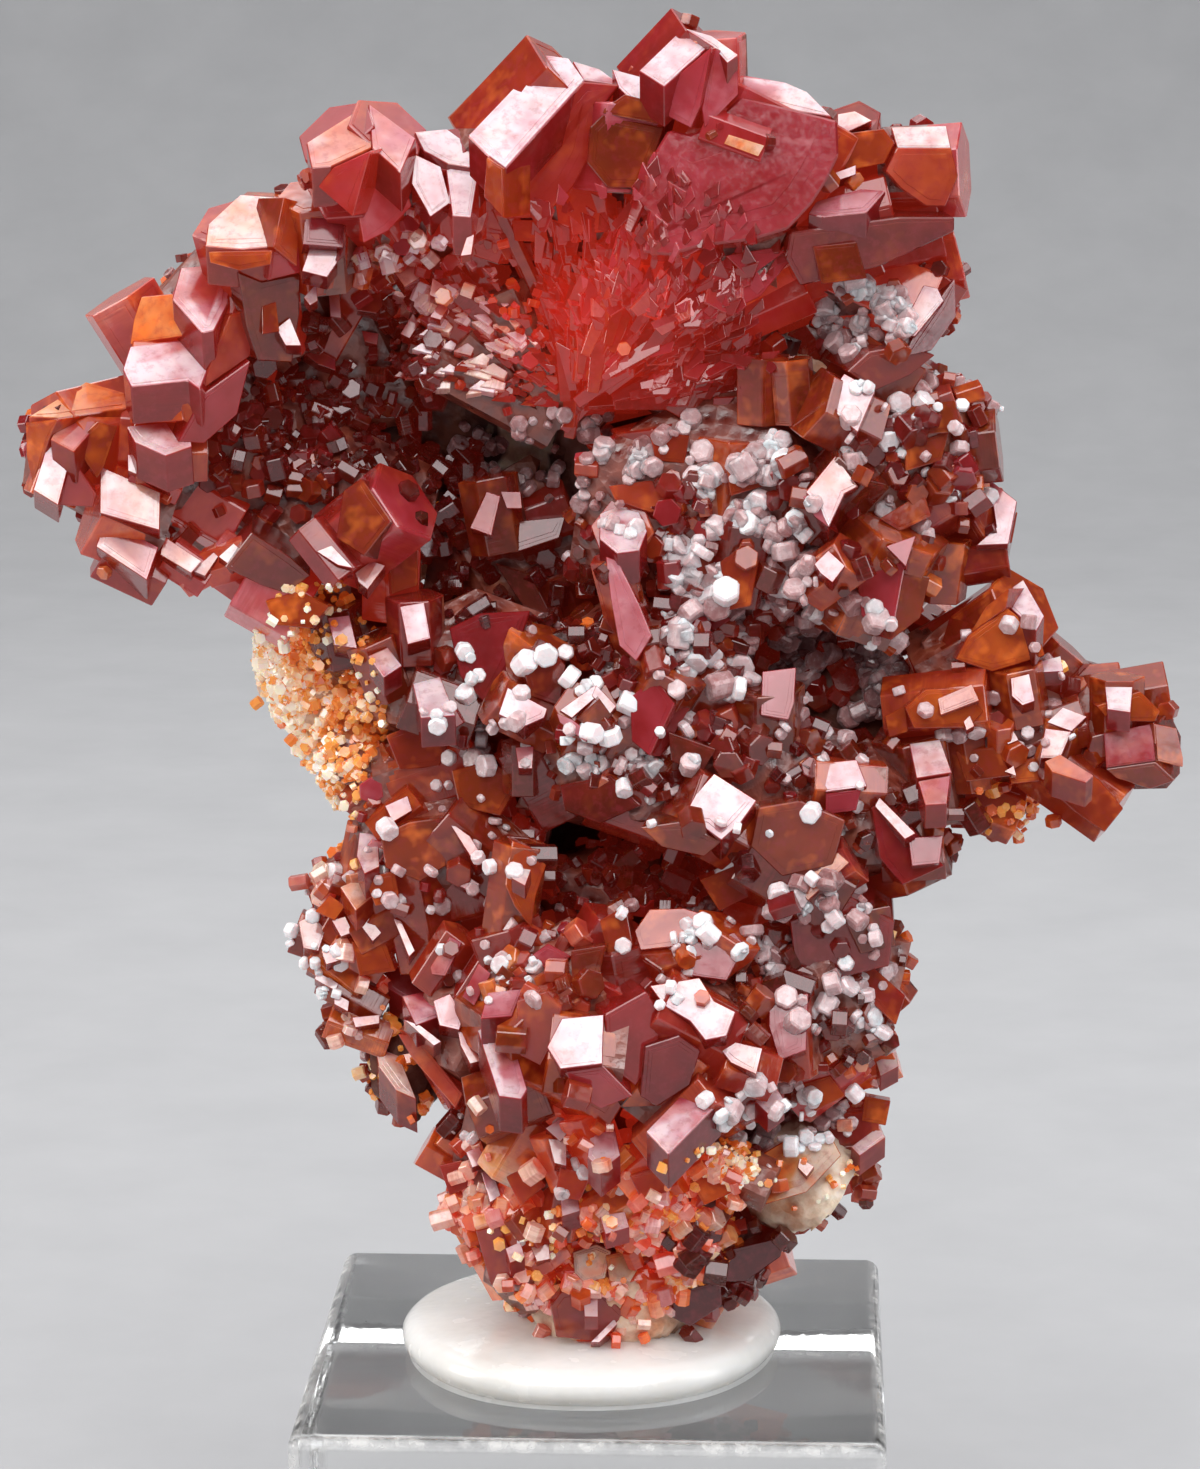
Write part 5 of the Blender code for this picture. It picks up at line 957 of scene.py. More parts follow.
def acrylic_finish(half_side, height):
    """Clear acrylic, frosted and whitish along its worn edges, with faint hair scratches."""
    finish = Finish("clear_acrylic", "clear_acrylic")
    place = finish.place()
    split = finish.node("ShaderNodeSeparateXYZ", {}, {0: place})
    gaps = []
    spans = ((-half_side, half_side), (-half_side, half_side), (0.0, height))
    for axis, (low, high) in enumerate(spans):
        along = Value(finish, split.outputs[axis])
        gaps.append((along - low).least(high - along))
    near = [finish.between(gap, 0.0002, 0.0010, 1.0, 0.0) for gap in gaps]
    edge = (near[0] * near[1]).most(near[1] * near[2]).most(near[0] * near[2])
    worn = edge * finish.between(finish.noise(place, 700.0, 5.0, 0.7), 0.40, 0.62)
    hair = finish.noise(finish.stretched(place, (1800.0, 90.0, 300.0)), 1.0, 3.0, 0.6)
    finish.set(Roughness=finish.between(hair, 0.45, 0.8, 0.012, 0.05) + edge * 0.16)
    finish.bump(hair, 0.05, 0.0001)
    finish.set(Base_Color=(0.97, 0.975, 0.97), IOR=1.49, Transmission_Weight=1.0)
    frost = finish.node("ShaderNodeBsdfDiffuse", {}, {"Color": (0.82, 0.81, 0.79)})
    blend = finish.node("ShaderNodeMixShader", {}, {
        0: worn * 0.55, 1: finish.shader.outputs[0], 2: frost.outputs[0]})
    out = finish.tree.nodes["Material Output"]
    finish.feed(out.inputs["Surface"], blend.outputs[0])
    return finish


def floor_finish():
    """Plain matt grey-white."""
    finish = Finish("pale_floor", None)
    place = finish.place()
    fleck = finish.noise(place, 60.0, 4.0, 0.6)
    finish.set(Base_Color=finish.ramp(fleck, [
        (0.3, (0.37, 0.37, 0.38)), (0.7, (0.40, 0.40, 0.41)),
    ]))
    finish.set(Roughness=0.7)
    return finish


# ---------------------------------------------------------------- pieces
def settle(thing, finish, smooth_below=0.0):
    """Give a piece its finish and its body."""
    thing.data.materials.clear()
    thing.data.materials.append(finish.material)
    if smooth_below > 0.0:
        thing.data.shade_smooth()
        thing.data.set_sharp_from_angle(angle=math.radians(smooth_below))
    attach(thing, "root")
    return thing


def new_object(name, mesh):
    thing = bpy.data.objects.new(name, mesh)
    bpy.context.scene.collection.objects.link(thing)
    return thing


def object_of(name, shape):
    """An object with a bmesh for its mesh; the bmesh is freed."""
    mesh = bpy.data.meshes.new(name)
    shape.to_mesh(mesh)
    shape.free()
    return new_object(name, mesh)


class Growth:
    """Many crystals gathered into one mesh, each with its own tone (with painted highlight and
    shade), painted glow and grain.
    """

    def __init__(self, name, finish):
        self.name = name
        self.finish = finish
        self.corners = []
        self.faces = []
        self.marks = []
        self.count = 0

    def add(self, form, place, tone, warm, glow, size=1.0, painted_wall_shade=None):
        """Put a form (its corners and faces, in mm) at a place, drawn to a size.

        A painted wall shade darkens what lies behind the form's front face.
        """
        corners, faces = form
        turn = np.array(place.to_3x3())
        local = corners * size
        self.corners.append(local @ turn.T + np.array(place.translation))
        # each crystal reads another part of the patterns
        shift = np.array([tone * 37.0, glow * 11.0 + self.count * 0.37 % 50.0, tone * 91.0])
        marks = np.empty((len(corners), 6))
        marks[:, :3] = local + shift
        marks[:, 3] = tone
        # Painted shade: the walls behind the front face are darker, more so further back
        if painted_wall_shade is not None:
            behind = np.clip(-local[:, 2] / WALL_FADE, 0.0, 1.0)
            marks[:, 3] = np.where(
                local[:, 2] > -FRONT_SKIN, tone, painted_wall_shade * (1.0 - 0.5 * behind))
        # Painted glow: it rises near the heart of the fan
        away = np.linalg.norm(self.corners[-1] - np.array(HEART), axis=1) / HEART_SIZE
        marks[:, 4] = glow + HEART_PAINTED_GLOW * np.exp(-away * away)
        marks[:, 5] = warm
        self.marks.append(marks)
        self.faces += [tuple(corner + self.count for corner in face) for face in faces]
        self.count += len(corners)

    def settle(self, ground=None):
        mesh = bpy.data.meshes.new(self.name)
        corners = np.concatenate(self.corners)
        marks = np.concatenate(self.marks)
        # Painted shade: each corner's tone is darkened the less open it lies
        if ground is not None:
            marks[:, 3] *= [ground.with_painted_shade(1.0, spot) for spot in corners]
        corners *= MM
        mesh.from_pydata(corners.tolist(), [], self.faces)
        mesh.attributes.new("grain", "FLOAT_VECTOR", "POINT").data.foreach_set(
            "vector", marks[:, :3].astype(np.float32).ravel())
        for column, mark in ((3, "tone"), (4, "glow"), (5, "warm")):
            mesh.attributes.new(mark, "FLOAT", "POINT").data.foreach_set(
                "value", marks[:, column].astype(np.float32))
        return settle(new_object(self.name, mesh), self.finish)


# ---------------------------------------------------------------- places and directions
def sight_line(across, up):
    return (Vector((across, 0.0, up)) - EYE).normalized()


def sight(across, up, depth):
    """The point at a depth (mm) on the sight line that meets y = 0 at (across, up)."""
    near = (depth - EYE.y) / -EYE.y
    return EYE + (Vector((across, 0.0, up)) - EYE) * near


def heading(lean, tilt):
    """Unit vector that leans in the front plane and tilts towards the front."""
    lean = math.radians(lean)
    tilt = math.radians(tilt)
    flat = math.cos(tilt)
    return Vector((flat * math.cos(lean), -math.sin(tilt), flat * math.sin(lean)))


def lit_normal(axis, turn):
    """The direction square to the axis that looks most towards the light, then turned."""
    lit = LIGHT_FROM - axis * LIGHT_FROM.dot(axis)
    if lit.length < 0.05:
        lit = axis.orthogonal()
    return Matrix.Rotation(math.radians(turn), 3, axis) @ lit.normalized()


def stance(spot, axis, side):
    """The frame at a spot whose Z is along axis and whose X is towards side."""
    along = axis.normalized()
    across = (side - along * side.dot(along)).normalized()
    turn = Matrix((across, along.cross(across), along)).transposed().to_4x4()
    return Matrix.Translation(spot) @ turn


def placed_crystal(row):
    """Cap centre, axis, side direction, radius and length of one row of the table."""
    placed_by, across, up, depth, radius, length, lean, tilt, turn = row
    axis = heading(lean, tilt)
    normal = lit_normal(axis, turn)
    spot = sight(across, up, depth)
    if placed_by == CAP:
        return spot, axis, normal, radius, length
    back_to_face = math.radians(round(turn / 60.0) * -60.0)
    face = Matrix.Rotation(back_to_face, 3, axis) @ normal
    cap = spot - face * radius * COS30 + axis * (length / 2)
    return cap, axis, normal, radius, length + ROOT


# ---------------------------------------------------------------- crystal forms
def form_of(shape):
    """Corners (mm) and faces of a bmesh, which is freed."""
    shape.verts.index_update()
    corners = np.array([vert.co[:] for vert in shape.verts])
    faces = [tuple(vert.index for vert in face.verts) for face in shape.faces]
    shape.free()
    return corners, faces


def soften(shape, offset, segments=1, clamp=True):
    """Bevel every edge."""
    bmesh.ops.bevel(
        shape, geom=shape.edges[:], offset=offset, segments=segments, profile=0.5,
        affect="EDGES", material=-1, clamp_overlap=clamp,
    )


def draw_out(shape, made, way):
    """Move the corners that an extrude has made."""
    moved = [piece for piece in made["geom"] if isinstance(piece, bmesh.types.BMVert)]
    bmesh.ops.translate(shape, vec=way, verts=moved)


def chain(shape, points):
    """New corners at the points, and the edges that join them in a row."""
    corners = [shape.verts.new(point) for point in points]
    return corners, [shape.edges.new(pair) for pair in zip(corners[:-1], corners[1:])]


def hexagonal(radius, length, taper=1.0):
    """A six-sided prism with its end face at the origin, running down -Z."""
    shape = bmesh.new()
    bmesh.ops.create_cone(
        shape, cap_ends=True, segments=6, radius1=radius * taper, radius2=radius, depth=length,
    )
    bmesh.ops.translate(shape, vec=(0.0, 0.0, -length / 2), verts=shape.verts)
    return shape


def terrace(shape, face, rim, step):
    """A flat step on a face: a narrow rim, then a wall up (or down) to a new flat."""
    bmesh.ops.inset_region(shape, faces=[face], thickness=rim, depth=0.0, use_even_offset=False)
    bmesh.ops.inset_region(
        shape, faces=[face], thickness=abs(step) * 0.5, depth=step, use_even_offset=False)


def large_crystal(radius, length, rng):
    """A prism with softened edges and growth steps on its end and sides."""
    shape = hexagonal(radius, length, rng.uniform(0.94, 1.0))
    soften(shape, 0.022 * radius + 0.02)
    bmesh.ops.recalc_face_normals(shape, faces=shape.faces)
    broad = radius * length * 0.4
    flats = [face for face in shape.faces if len(face.verts) == 6 or face.calc_area() > broad]
    for face in flats:
        for _ in range(rng.choice((0, 0, 1, 1, 2))):
            terrace(shape, face, radius * rng.uniform(0.04, 0.20), rng.uniform(-0.04, 0.05))
    return form_of(shape)


def small_crystal(stretch, rim):
    """A prism of unit radius, used many times over."""
    shape = hexagonal(1.0, stretch)
    if rim > 0.0:
        soften(shape, rim, clamp=False)
    bmesh.ops.recalc_face_normals(shape, faces=shape.faces)
    return form_of(shape)


# ---------------------------------------------------------------- the large crystals
# Tone, warmth (0 crimson, 1 amber) and painted glow of each field of large crystals
LOOKS = {
    "crest": (0.58, 0.25, 0.26),
    "wing": (0.66, 0.50, 0.26),
    "centre": (0.44, 0.65, 0.03),
    "arm": (0.47, 0.90, 0.07),
    "flank": (0.58, 0.90, 0.12),
    "knob": (0.58, 0.60, 0.14),
    "foot": (0.78, 0.80, 0.34),
}
GROUPS = {
    "crown_prisms": ("crest", "wing"),
    "middle_prisms": ("centre", "arm", "flank"),
    "lower_prisms": ("knob", "foot"),
}
# The fan: its root (across, up, depth), how many plates, their first lean and their spread in
# degrees, and the lean from which it is the left side
FAN_ROOT = (-1.5, 88.0, 0.8)
FAN_PLATES = 74
FAN_FIRST = 14.0
FAN_SPREAD = 148.0
FAN_LEFT = 112.0
FAN_SCALES = 760
FAN_CHIPS = 380
# The middle of the painted red glow, how far it reaches, and how strong it is
HEART = Vector((-1.0, -4.0, 94.5))
HEART_SIZE = 7.5
HEART_PAINTED_GLOW = 0.75
# A shown face: how far it stands off, how much further it may be lifted over what lies behind
# it, how deep its front goes, and how far back the painted shade on its walls reaches
FACE_LIFT = 0.12
FACE_MOST = 0.6
FRONT_SKIN = 0.02
WALL_FADE = 4.0
# How dark the painted shade in the deepest gap is, and how far and in how many directions openness
# is looked at
DEEPEST_PAINTED_SHADE = 0.35
OPEN_REACH = 12.0
OPEN_LOOKS = 18


def large_crystals(finish):
    """The crystals of the table, one growth for each cluster of solids."""
    made = []
    for name, fields in GROUPS.items():
        growth = Growth(name, finish)
        for field in fields:
            for i, row in enumerate(CRYSTALS[field]):
                rng = random.Random(f"{SEED}-{field}-{i}")
                cap, axis, side, radius, length = placed_crystal(row)
                form = large_crystal(radius + PROUD, length + PROUD, rng)
                tone, warm, glow = LOOKS[field]
                tone += rng.uniform(-0.24, 0.24)
                glow *= rng.uniform(0.2, 1.6)
                warm += rng.uniform(-0.35, 0.35)
                growth.add(form, stance(cap + axis * PROUD, axis, side), tone, warm, glow)
        made.append(growth)
    return made


def face_normal(lies, spot):
    """The normal that mirrors a lamp to the eye, or one given by its turn and rise."""
    if lies in LAMPS:
        return ((EYE - spot).normalized() + (LAMPS[lies] - spot).normalized()).normalized()
    turn, rise = (math.radians(angle) for angle in lies)
    flat = math.cos(rise)
    return Vector((flat * math.sin(turn), -flat * math.cos(turn), math.sin(rise)))


def block_behind(outline, body, rng):
    """A block that runs back from an outline (in mm, in the plane z = 0), with softened edges."""
    shape = bmesh.new()
    face = shape.faces.new([shape.verts.new(corner) for corner in outline])
    size = math.sqrt(face.calc_area())
    made = bmesh.ops.extrude_face_region(shape, geom=[face], use_keep_orig=True)
    draw_out(shape, made, body)
    bmesh.ops.recalc_face_normals(shape, faces=shape.faces)
    soften(shape, 0.015 * size + 0.015)
    top = max(shape.faces, key=lambda one: one.calc_center_median().z)
    if size > 1.5:
        for _ in range(rng.choice((1, 1, 2))):
            terrace(shape, top, size * rng.uniform(0.03, 0.12), rng.uniform(0.015, 0.05))
    return form_of(shape)


def shown_faces(finish, ground):
    """The faces that show most, each with its block behind it, standing on what lies there."""
    made = []
    for part, rows in FACES.items():
        growth = Growth(f"{part}_faces", finish)
        for i, (lies, outline, tone, warm, glow) in enumerate(rows):
            rng = random.Random(f"{SEED}-{part}-face-{i}")
            ways = [sight_line(x, z) for x, z in zip(outline[::2], outline[1::2])]
            middle = sum(ways, Vector()).normalized()
            met = ground.meet(EYE, middle)
            spot = met[0] if met else EYE + middle * (-EYE.y / middle.y)
            normal = face_normal(lies, spot)
            reach = normal.dot(spot) + FACE_LIFT
            for way in ways:
                beyond = ground.meet(EYE, way)
                if beyond:
                    reach = max(reach, min(normal.dot(beyond[0]) + FACE_LIFT, reach + FACE_MOST))
            corners = [EYE + way * ((reach - normal.dot(EYE)) / normal.dot(way)) for way in ways]
            centre = sum(corners, Vector()) / len(corners)
            place = stance(centre, normal, corners[1] - corners[0])
            back = place.inverted()
            flat = [back @ corner for corner in corners]
            size = max(corner.length for corner in flat)
            if lies == SKY:
                body = Vector((0.0, 0.35, -1.0)) * min(size, 2.6)
            else:
                body = -normal * size * 1.4
            form = block_behind(flat, back.to_3x3() @ body, rng)
            # Painted highlight: faces that mirror a lamp have a tone near 1, a pale base; their
            # walls get painted shade
            growth.add(form, place, tone, warm, glow, painted_wall_shade=min(tone, 0.58) - 0.12)
            ground.take(growth)
        made.append(growth)
    return made


def fan(finish):
    """Broad plates that spread like a fan below the crest, with a painted glow at its heart."""
    growth = Growth("fan_plates", finish)
    rng = random.Random(f"{SEED}-fan")
    root = sight(*FAN_ROOT)
    for step in range(FAN_PLATES):
        lean = FAN_FIRST + FAN_SPREAD * step / (FAN_PLATES - 1) + rng.uniform(-4, 4)
        axis = heading(lean, rng.uniform(-2, 12))
        reach = rng.uniform(6.5, 13.5) * (0.8 + 0.35 * math.sin(math.radians(lean)))
        radius = rng.uniform(0.5, 1.5)
        foot = root + Vector((
            rng.uniform(-1.5, 1.5), rng.uniform(-0.8, 1.6), rng.uniform(-1.0, 1.0)))
        form = large_crystal(radius, reach * 0.95, rng)
        side = lit_normal(axis, rng.uniform(-30, 30))
        growth.add(form, stance(foot + axis * reach, axis, side), rng.uniform(0.2, 0.55),
                   rng.uniform(0.0, 0.7), 0.06)
    return growth


def blade(length, width, thick):
    """A thin plate with a slanted tip at the origin, its broad face towards X."""
    shape = bmesh.new()
    bmesh.ops.create_cube(shape, size=1.0)
    bmesh.ops.scale(shape, vec=(thick, width, length), verts=shape.verts)
    bmesh.ops.translate(shape, vec=(0.0, 0.0, -length / 2), verts=shape.verts)
    for vert in shape.verts:
        if vert.co.z > -length / 2:
            vert.co.z -= (vert.co.y / width + 0.5) * width * 0.7
        else:
            vert.co.y *= 0.6
    soften(shape, 0.03)
    bmesh.ops.recalc_face_normals(shape, faces=shape.faces)
    return form_of(shape)


def fan_place(lean, out):
    """Across and up, at a lean (degrees) and a distance from the fan's root."""
    turned = math.radians(lean)
    return FAN_ROOT[0] + out * math.cos(turned), FAN_ROOT[1] + out * math.sin(turned)


def fan_scales(finish, ground):
    """Ridges that run out from the fan's root over the plates, and small blocks on its left."""
    growth = Growth("fan_scales", finish)
    rng = random.Random(f"{SEED}-scales")
    blades = [
        blade(3.2, 0.9, 0.7), blade(2.2, 0.8, 0.6), blade(4.4, 1.1, 0.7), blade(1.4, 0.7, 0.6)]
    blocks = [blade(0.9, 0.7, 0.8), blade(0.7, 0.55, 0.7), blade(1.2, 0.6, 0.7)]
    for _ in range(FAN_SCALES):
        lean = rng.uniform(4.0, 172.0)
        out = rng.uniform(1.5, 14.0)
        left = lean > FAN_LEFT
        if out > 12.5 - 4.0 * (45.0 < lean < FAN_LEFT):
            continue
        met = ground.seen_at(*fan_place(lean, out))
        if met is None:
            continue
        spot, normal, _ = met
        axis = heading(lean + rng.uniform(-10, 10), rng.uniform(-4, 12))
        facing = face_normal((rng.uniform(-24, 24), rng.uniform(-4, 22)), spot)
        tone = rng.uniform(0.16, 0.60)
        size = rng.uniform(0.5, 1.1)
        # Painted highlight: some scales on the left are turned to mirror the front lamp and get a
        # very bright tone
        if lean > 120.0 and out > 5.0 and rng.random() < 0.5:
            facing = face_normal(MIRROR, spot)
            axis = (axis - facing * facing.dot(axis)).normalized()
            tone = rng.uniform(1.2, 2.2)
            size *= 1.4
        side = facing - axis * facing.dot(axis)
        form = rng.choice(blocks if left else blades)
        place = stance(spot + axis * 0.8 + side.normalized() * rng.uniform(-0.25, 0.05), axis, side)
        warm = rng.uniform(0.0, 0.35) if lean < 60 else rng.uniform(0.0, 0.8)
        growth.add(form, place, tone, warm, 0.04, size)
    return growth


def fan_chips(finish, ground):
    """Small facets that break up the slab's foot and the right side of the fan."""
    growth = Growth("fan_chips", finish)
    rng = random.Random(f"{SEED}-chips")
    chips = [blade(1.5, 1.0, 0.35), blade(2.3, 0.8, 0.35), blade(1.0, 0.9, 0.35)]
    for _ in range(FAN_CHIPS):
        lean = rng.uniform(12.0, 104.0)
        out = 14.2 - 8.5 * rng.random() ** 0.8 + 2.5 * (35.0 < lean < 75.0)
        met = ground.seen_at(*fan_place(lean, out))
        if met is None:
            continue
        spot = met[0]
        axis = heading(lean + rng.uniform(-28, 28), rng.uniform(-4, 12))
        facing = face_normal((rng.uniform(-28, 28), rng.uniform(-4, 36)), spot)
        side = facing - axis * facing.dot(axis)
        place = stance(spot + axis * 0.6 + side.normalized() * 0.02, axis, side)
        growth.add(rng.choice(chips), place, rng.uniform(0.28, 0.80), rng.uniform(0.0, 0.3), 0.08,
                   rng.uniform(0.5, 1.2))
    return growth


# ---------------------------------------------------------------- the small crystals
class Ground:
    """The surfaces that crystals stand on, and how open a spot lies among them."""

    def __init__(self, growths):
        corners = []
        faces = []
        for name in CRYSTAL_NODES + ("matrix",):
            mesh = NODES[name].data
            start = len(corners)
            corners += [vert.co / MM for vert in mesh.vertices]
            faces += [tuple(corner + start for corner in face.vertices) for face in mesh.polygons]
        self.solid = BVHTree.FromPolygons(corners, faces)
        self.crystals = {}
        for growth in growths:
            self.take(growth)
        self.looks = []
        for step in range(OPEN_LOOKS):
            rise = 1.0 - (2.0 * step + 1.0) / OPEN_LOOKS
            turn = step * 2.39996
            flat = math.sqrt(1.0 - rise * rise)
            self.looks.append(Vector((flat * math.cos(turn), flat * math.sin(turn), rise)))

    def take(self, growth):
        """Stand what comes next on this growth too."""
        corners = np.concatenate(growth.corners).tolist()
        self.crystals[growth.name] = BVHTree.FromPolygons(corners, growth.faces)

    def openness(self, spot):
        """The share of directions that are clear, 1 on a free flat face and 0 in a deep gap."""
        start = Vector(spot)
        clear = 0
        for look in self.looks:
            if self.solid.ray_cast(start + look * 0.3, look, OPEN_REACH)[0] is None:
                clear += 1
        return min(1.0, clear / (0.5 * OPEN_LOOKS))

    def with_painted_shade(self, tone, spot):
        """The tone with painted shade: darker the less open its spot is."""
        return tone * (DEEPEST_PAINTED_SHADE + (1.0 - DEEPEST_PAINTED_SHADE) * self.openness(spot))

    def seen_at(self, across, up):
        """What the sight line through a place meets."""
        return self.meet(EYE, sight_line(across, up))

    def meet(self, start, way):
        """Where a ray first meets the specimen: spot, normal, and the kind of crystals met."""
        spot, normal, _, far = self.solid.ray_cast(start, way)
        on = BED
        for name, tree in self.crystals.items():
            other, slope, _, other_far = tree.ray_cast(start, way)
            if other is not None and (spot is None or other_far < far + 0.1):
                spot, normal, far, on = other, slope, other_far, name.split("_")[1]
        if spot is None:
            return None
        if normal.dot(way) > 0:
            normal = -normal
        return spot, normal, on


# The share of the small crystals that is turned to catch the light
BRIGHT_STUBS = 0.40
BRIGHT_GRAINS = 0.12
BRIGHT_HIDDEN = 0.06
# How much their axes stray, and how fine the patches of druse are
SCATTER = 0.75
DRUSE_PATCH = 0.42
# The hidden sides: how many are tried, how far back and how low they go, what they are aimed
# at and from how far, and the size and shift of their patches
HIDDEN_TRIES = 8200
HIDDEN_BACK = 21.6
HIDDEN_LOWEST = 27.5
HIDDEN_MIDDLE = Vector((0.0, 3.0, 70.0))
FAR_OUT = 200.0
PATCH = 0.10
PATCH_SHIFT = Vector((4.0, 9.0, 2.0))
# The share of the small crystals that stays, by what they stand on
KEEP = {
    (BED, STUB): 1.0, (BED, DRUSE): 1.0, (BED, EMBER): 1.0,
    ("faces", STUB): 0.01, ("faces", DRUSE): 0.30, ("faces", EMBER): 0.05,
    ("prisms", STUB): 0.10, ("prisms", DRUSE): 0.42, ("prisms", EMBER): 0.16,
    ("plates", STUB): 0.10, ("plates", DRUSE): 0.30, ("plates", EMBER): 0.0,
    ("scales", STUB): 0.10, ("scales", DRUSE): 0.10, ("scales", EMBER): 0.0,
    ("chips", STUB): 0.03, ("chips", DRUSE): 0.05, ("chips", EMBER): 0.0,
}


def stand(ground, growth, forms, rng, spot, normal, radius, tone, glow, lit_share):
    """Stand one small crystal on a surface, some of them turned to catch the light."""
    scatter = Vector((rng.uniform(-1, 1), rng.uniform(-1, 1), rng.uniform(-1, 1))) * SCATTER
    axis = (normal + scatter).normalized()
    side = lit_normal(axis, rng.uniform(-30, 30))
    if rng.random() < lit_share:
        axis = heading(rng.uniform(0, 180), rng.uniform(-6, 14))
        side = lit_normal(axis, rng.uniform(-5, 5))
    lift = radius * rng.uniform(0.4, 1.1)
    warm = rng.uniform(0.0, 0.9) + 0.35 * (spot.z < 55.0 or abs(spot.x) > 17.0 and spot.z < 80.0)
    # Painted shade: the tone is darkened where the crystal stands in a gap
    tone = ground.with_painted_shade(tone, spot + normal * lift)
    place = stance(spot + normal * lift, axis, side)
    growth.add(rng.choice(forms), place, tone, warm, glow, radius)


def front_fields(ground, growths, forms):
    """The fields of the table, strewn where their sight lines meet the specimen."""
    rng = random.Random(f"{SEED}-fields")
    for kind, across, up, half_x, half_z, count, least, greatest, tone, spread, glow in FIELDS:
        for _ in range(count):
            angle = rng.uniform(0, 2 * math.pi)
            out = math.sqrt(rng.random())
            x = across + half_x * out * math.cos(angle)
            z = up + half_z * out * math.sin(angle)
            met = ground.seen_at(x, z)
            if met is None:
                continue
            spot, normal, on = met
            if rng.random() > KEEP[on, kind]:
                continue
            if kind == DRUSE and noise.noise(spot * DRUSE_PATCH) < -0.05:
                continue
            radius = least + (greatest - least) * rng.random() ** 1.9
            shade = tone + rng.uniform(-spread, spread)
            lit_share = BRIGHT_STUBS if kind == STUB else BRIGHT_GRAINS
            part = "upper" if z > UPPER_FROM else "lower"
            stand(ground, growths[kind, part], forms[kind], rng, spot, normal, radius, shade,
                  glow * rng.uniform(0.3, 1.3), lit_share)


def hidden_sides(ground, growths, forms):
    """Crystals in patches over the back, the sides and the top, met from rings of directions."""
    rng = random.Random(f"{SEED}-sides")
    for _ in range(HIDDEN_TRIES):
        turn = rng.uniform(-0.30, 1.30) * math.pi
        rise = rng.uniform(-0.45, 0.9)
        flat = math.cos(rise)
        away = Vector((math.cos(turn) * flat, math.sin(turn) * flat, math.sin(rise)))
        aim = HIDDEN_MIDDLE + Vector((
            rng.uniform(-38, 38), rng.uniform(-12, 12), rng.uniform(-44, 44)))
        met = ground.meet(aim + away * FAR_OUT, -away)
        if met is None:
            continue
        spot, normal, on = met
        if normal.y < -0.30 or spot.z < HIDDEN_LOWEST or on != BED and rng.random() > 0.03:
            continue
        patch = noise.noise(spot * PATCH + PATCH_SHIFT) + 0.25 * (spot.z > 84.0)
        radius = 0.45 + 1.5 * rng.random() ** 2.4
        kind = STUB
        if patch < -0.02 and rng.random() < 0.8:
            kind = DRUSE if patch > -0.12 else EMBER
            radius = rng.uniform(0.2, 0.5)
            if noise.noise(spot * 0.30) < 0.05 and patch < -0.12:
                continue
        if spot.x < -14.0 and 58.0 < spot.z < 79.0:
            kind, radius = EMBER, rng.uniform(0.2, 0.45)
        if spot.y < 5.0 or normal.y < 0.2:
            radius = min(radius, 0.45 + 0.35 * rng.random())
        radius = min(radius, 0.55 * max(0.6, HIDDEN_BACK - spot.y))
        part = "upper" if spot.z > UPPER_FROM else "lower"
        stand(ground, growths[kind, part], forms[kind], rng, spot, normal, radius,
              rng.uniform(0.1, 0.85), rng.uniform(0.0, 0.12), BRIGHT_HIDDEN)


def small_crystals(ground, finishes):
    """Stubs, druse and crust, each in an upper and a lower piece."""
    forms = {
        STUB: [small_crystal(stretch, 0.07) for stretch in (1.1, 1.6, 2.2)],
        DRUSE: [small_crystal(stretch, 0.16) for stretch in (0.8, 1.2, 1.7)],
        EMBER: [small_crystal(stretch, 0.0) for stretch in (1.2, 1.8)],
    }
    growths = {}
    for kind, word in ((STUB, "stubs"), (DRUSE, "druse"), (EMBER, "crust")):
        for part in ("upper", "lower"):
            growths[kind, part] = Growth(f"{part}_{word}", finishes[kind])
    front_fields(ground, growths, forms)
    hidden_sides(ground, growths, forms)
    return [growth.settle() for growth in growths.values() if growth.count]


# ---------------------------------------------------------------- rock, putty, block
def merged_copy(name, node):
    """A copy of a node's mesh with its loose triangles joined."""
    shape = bmesh.new()
    shape.from_mesh(NODES[node].data)
    bmesh.ops.remove_doubles(shape, verts=shape.verts, dist=0.000002)
    return object_of(name, shape)


def apply_modifiers(thing):
    depsgraph = bpy.context.evaluated_depsgraph_get()
    made = bpy.data.meshes.new_from_object(thing.evaluated_get(depsgraph))
    thing.modifiers.clear()
    thing.data = made


ROCK_VOXEL = 0.0007
BLOCK_EDGE = 0.0009


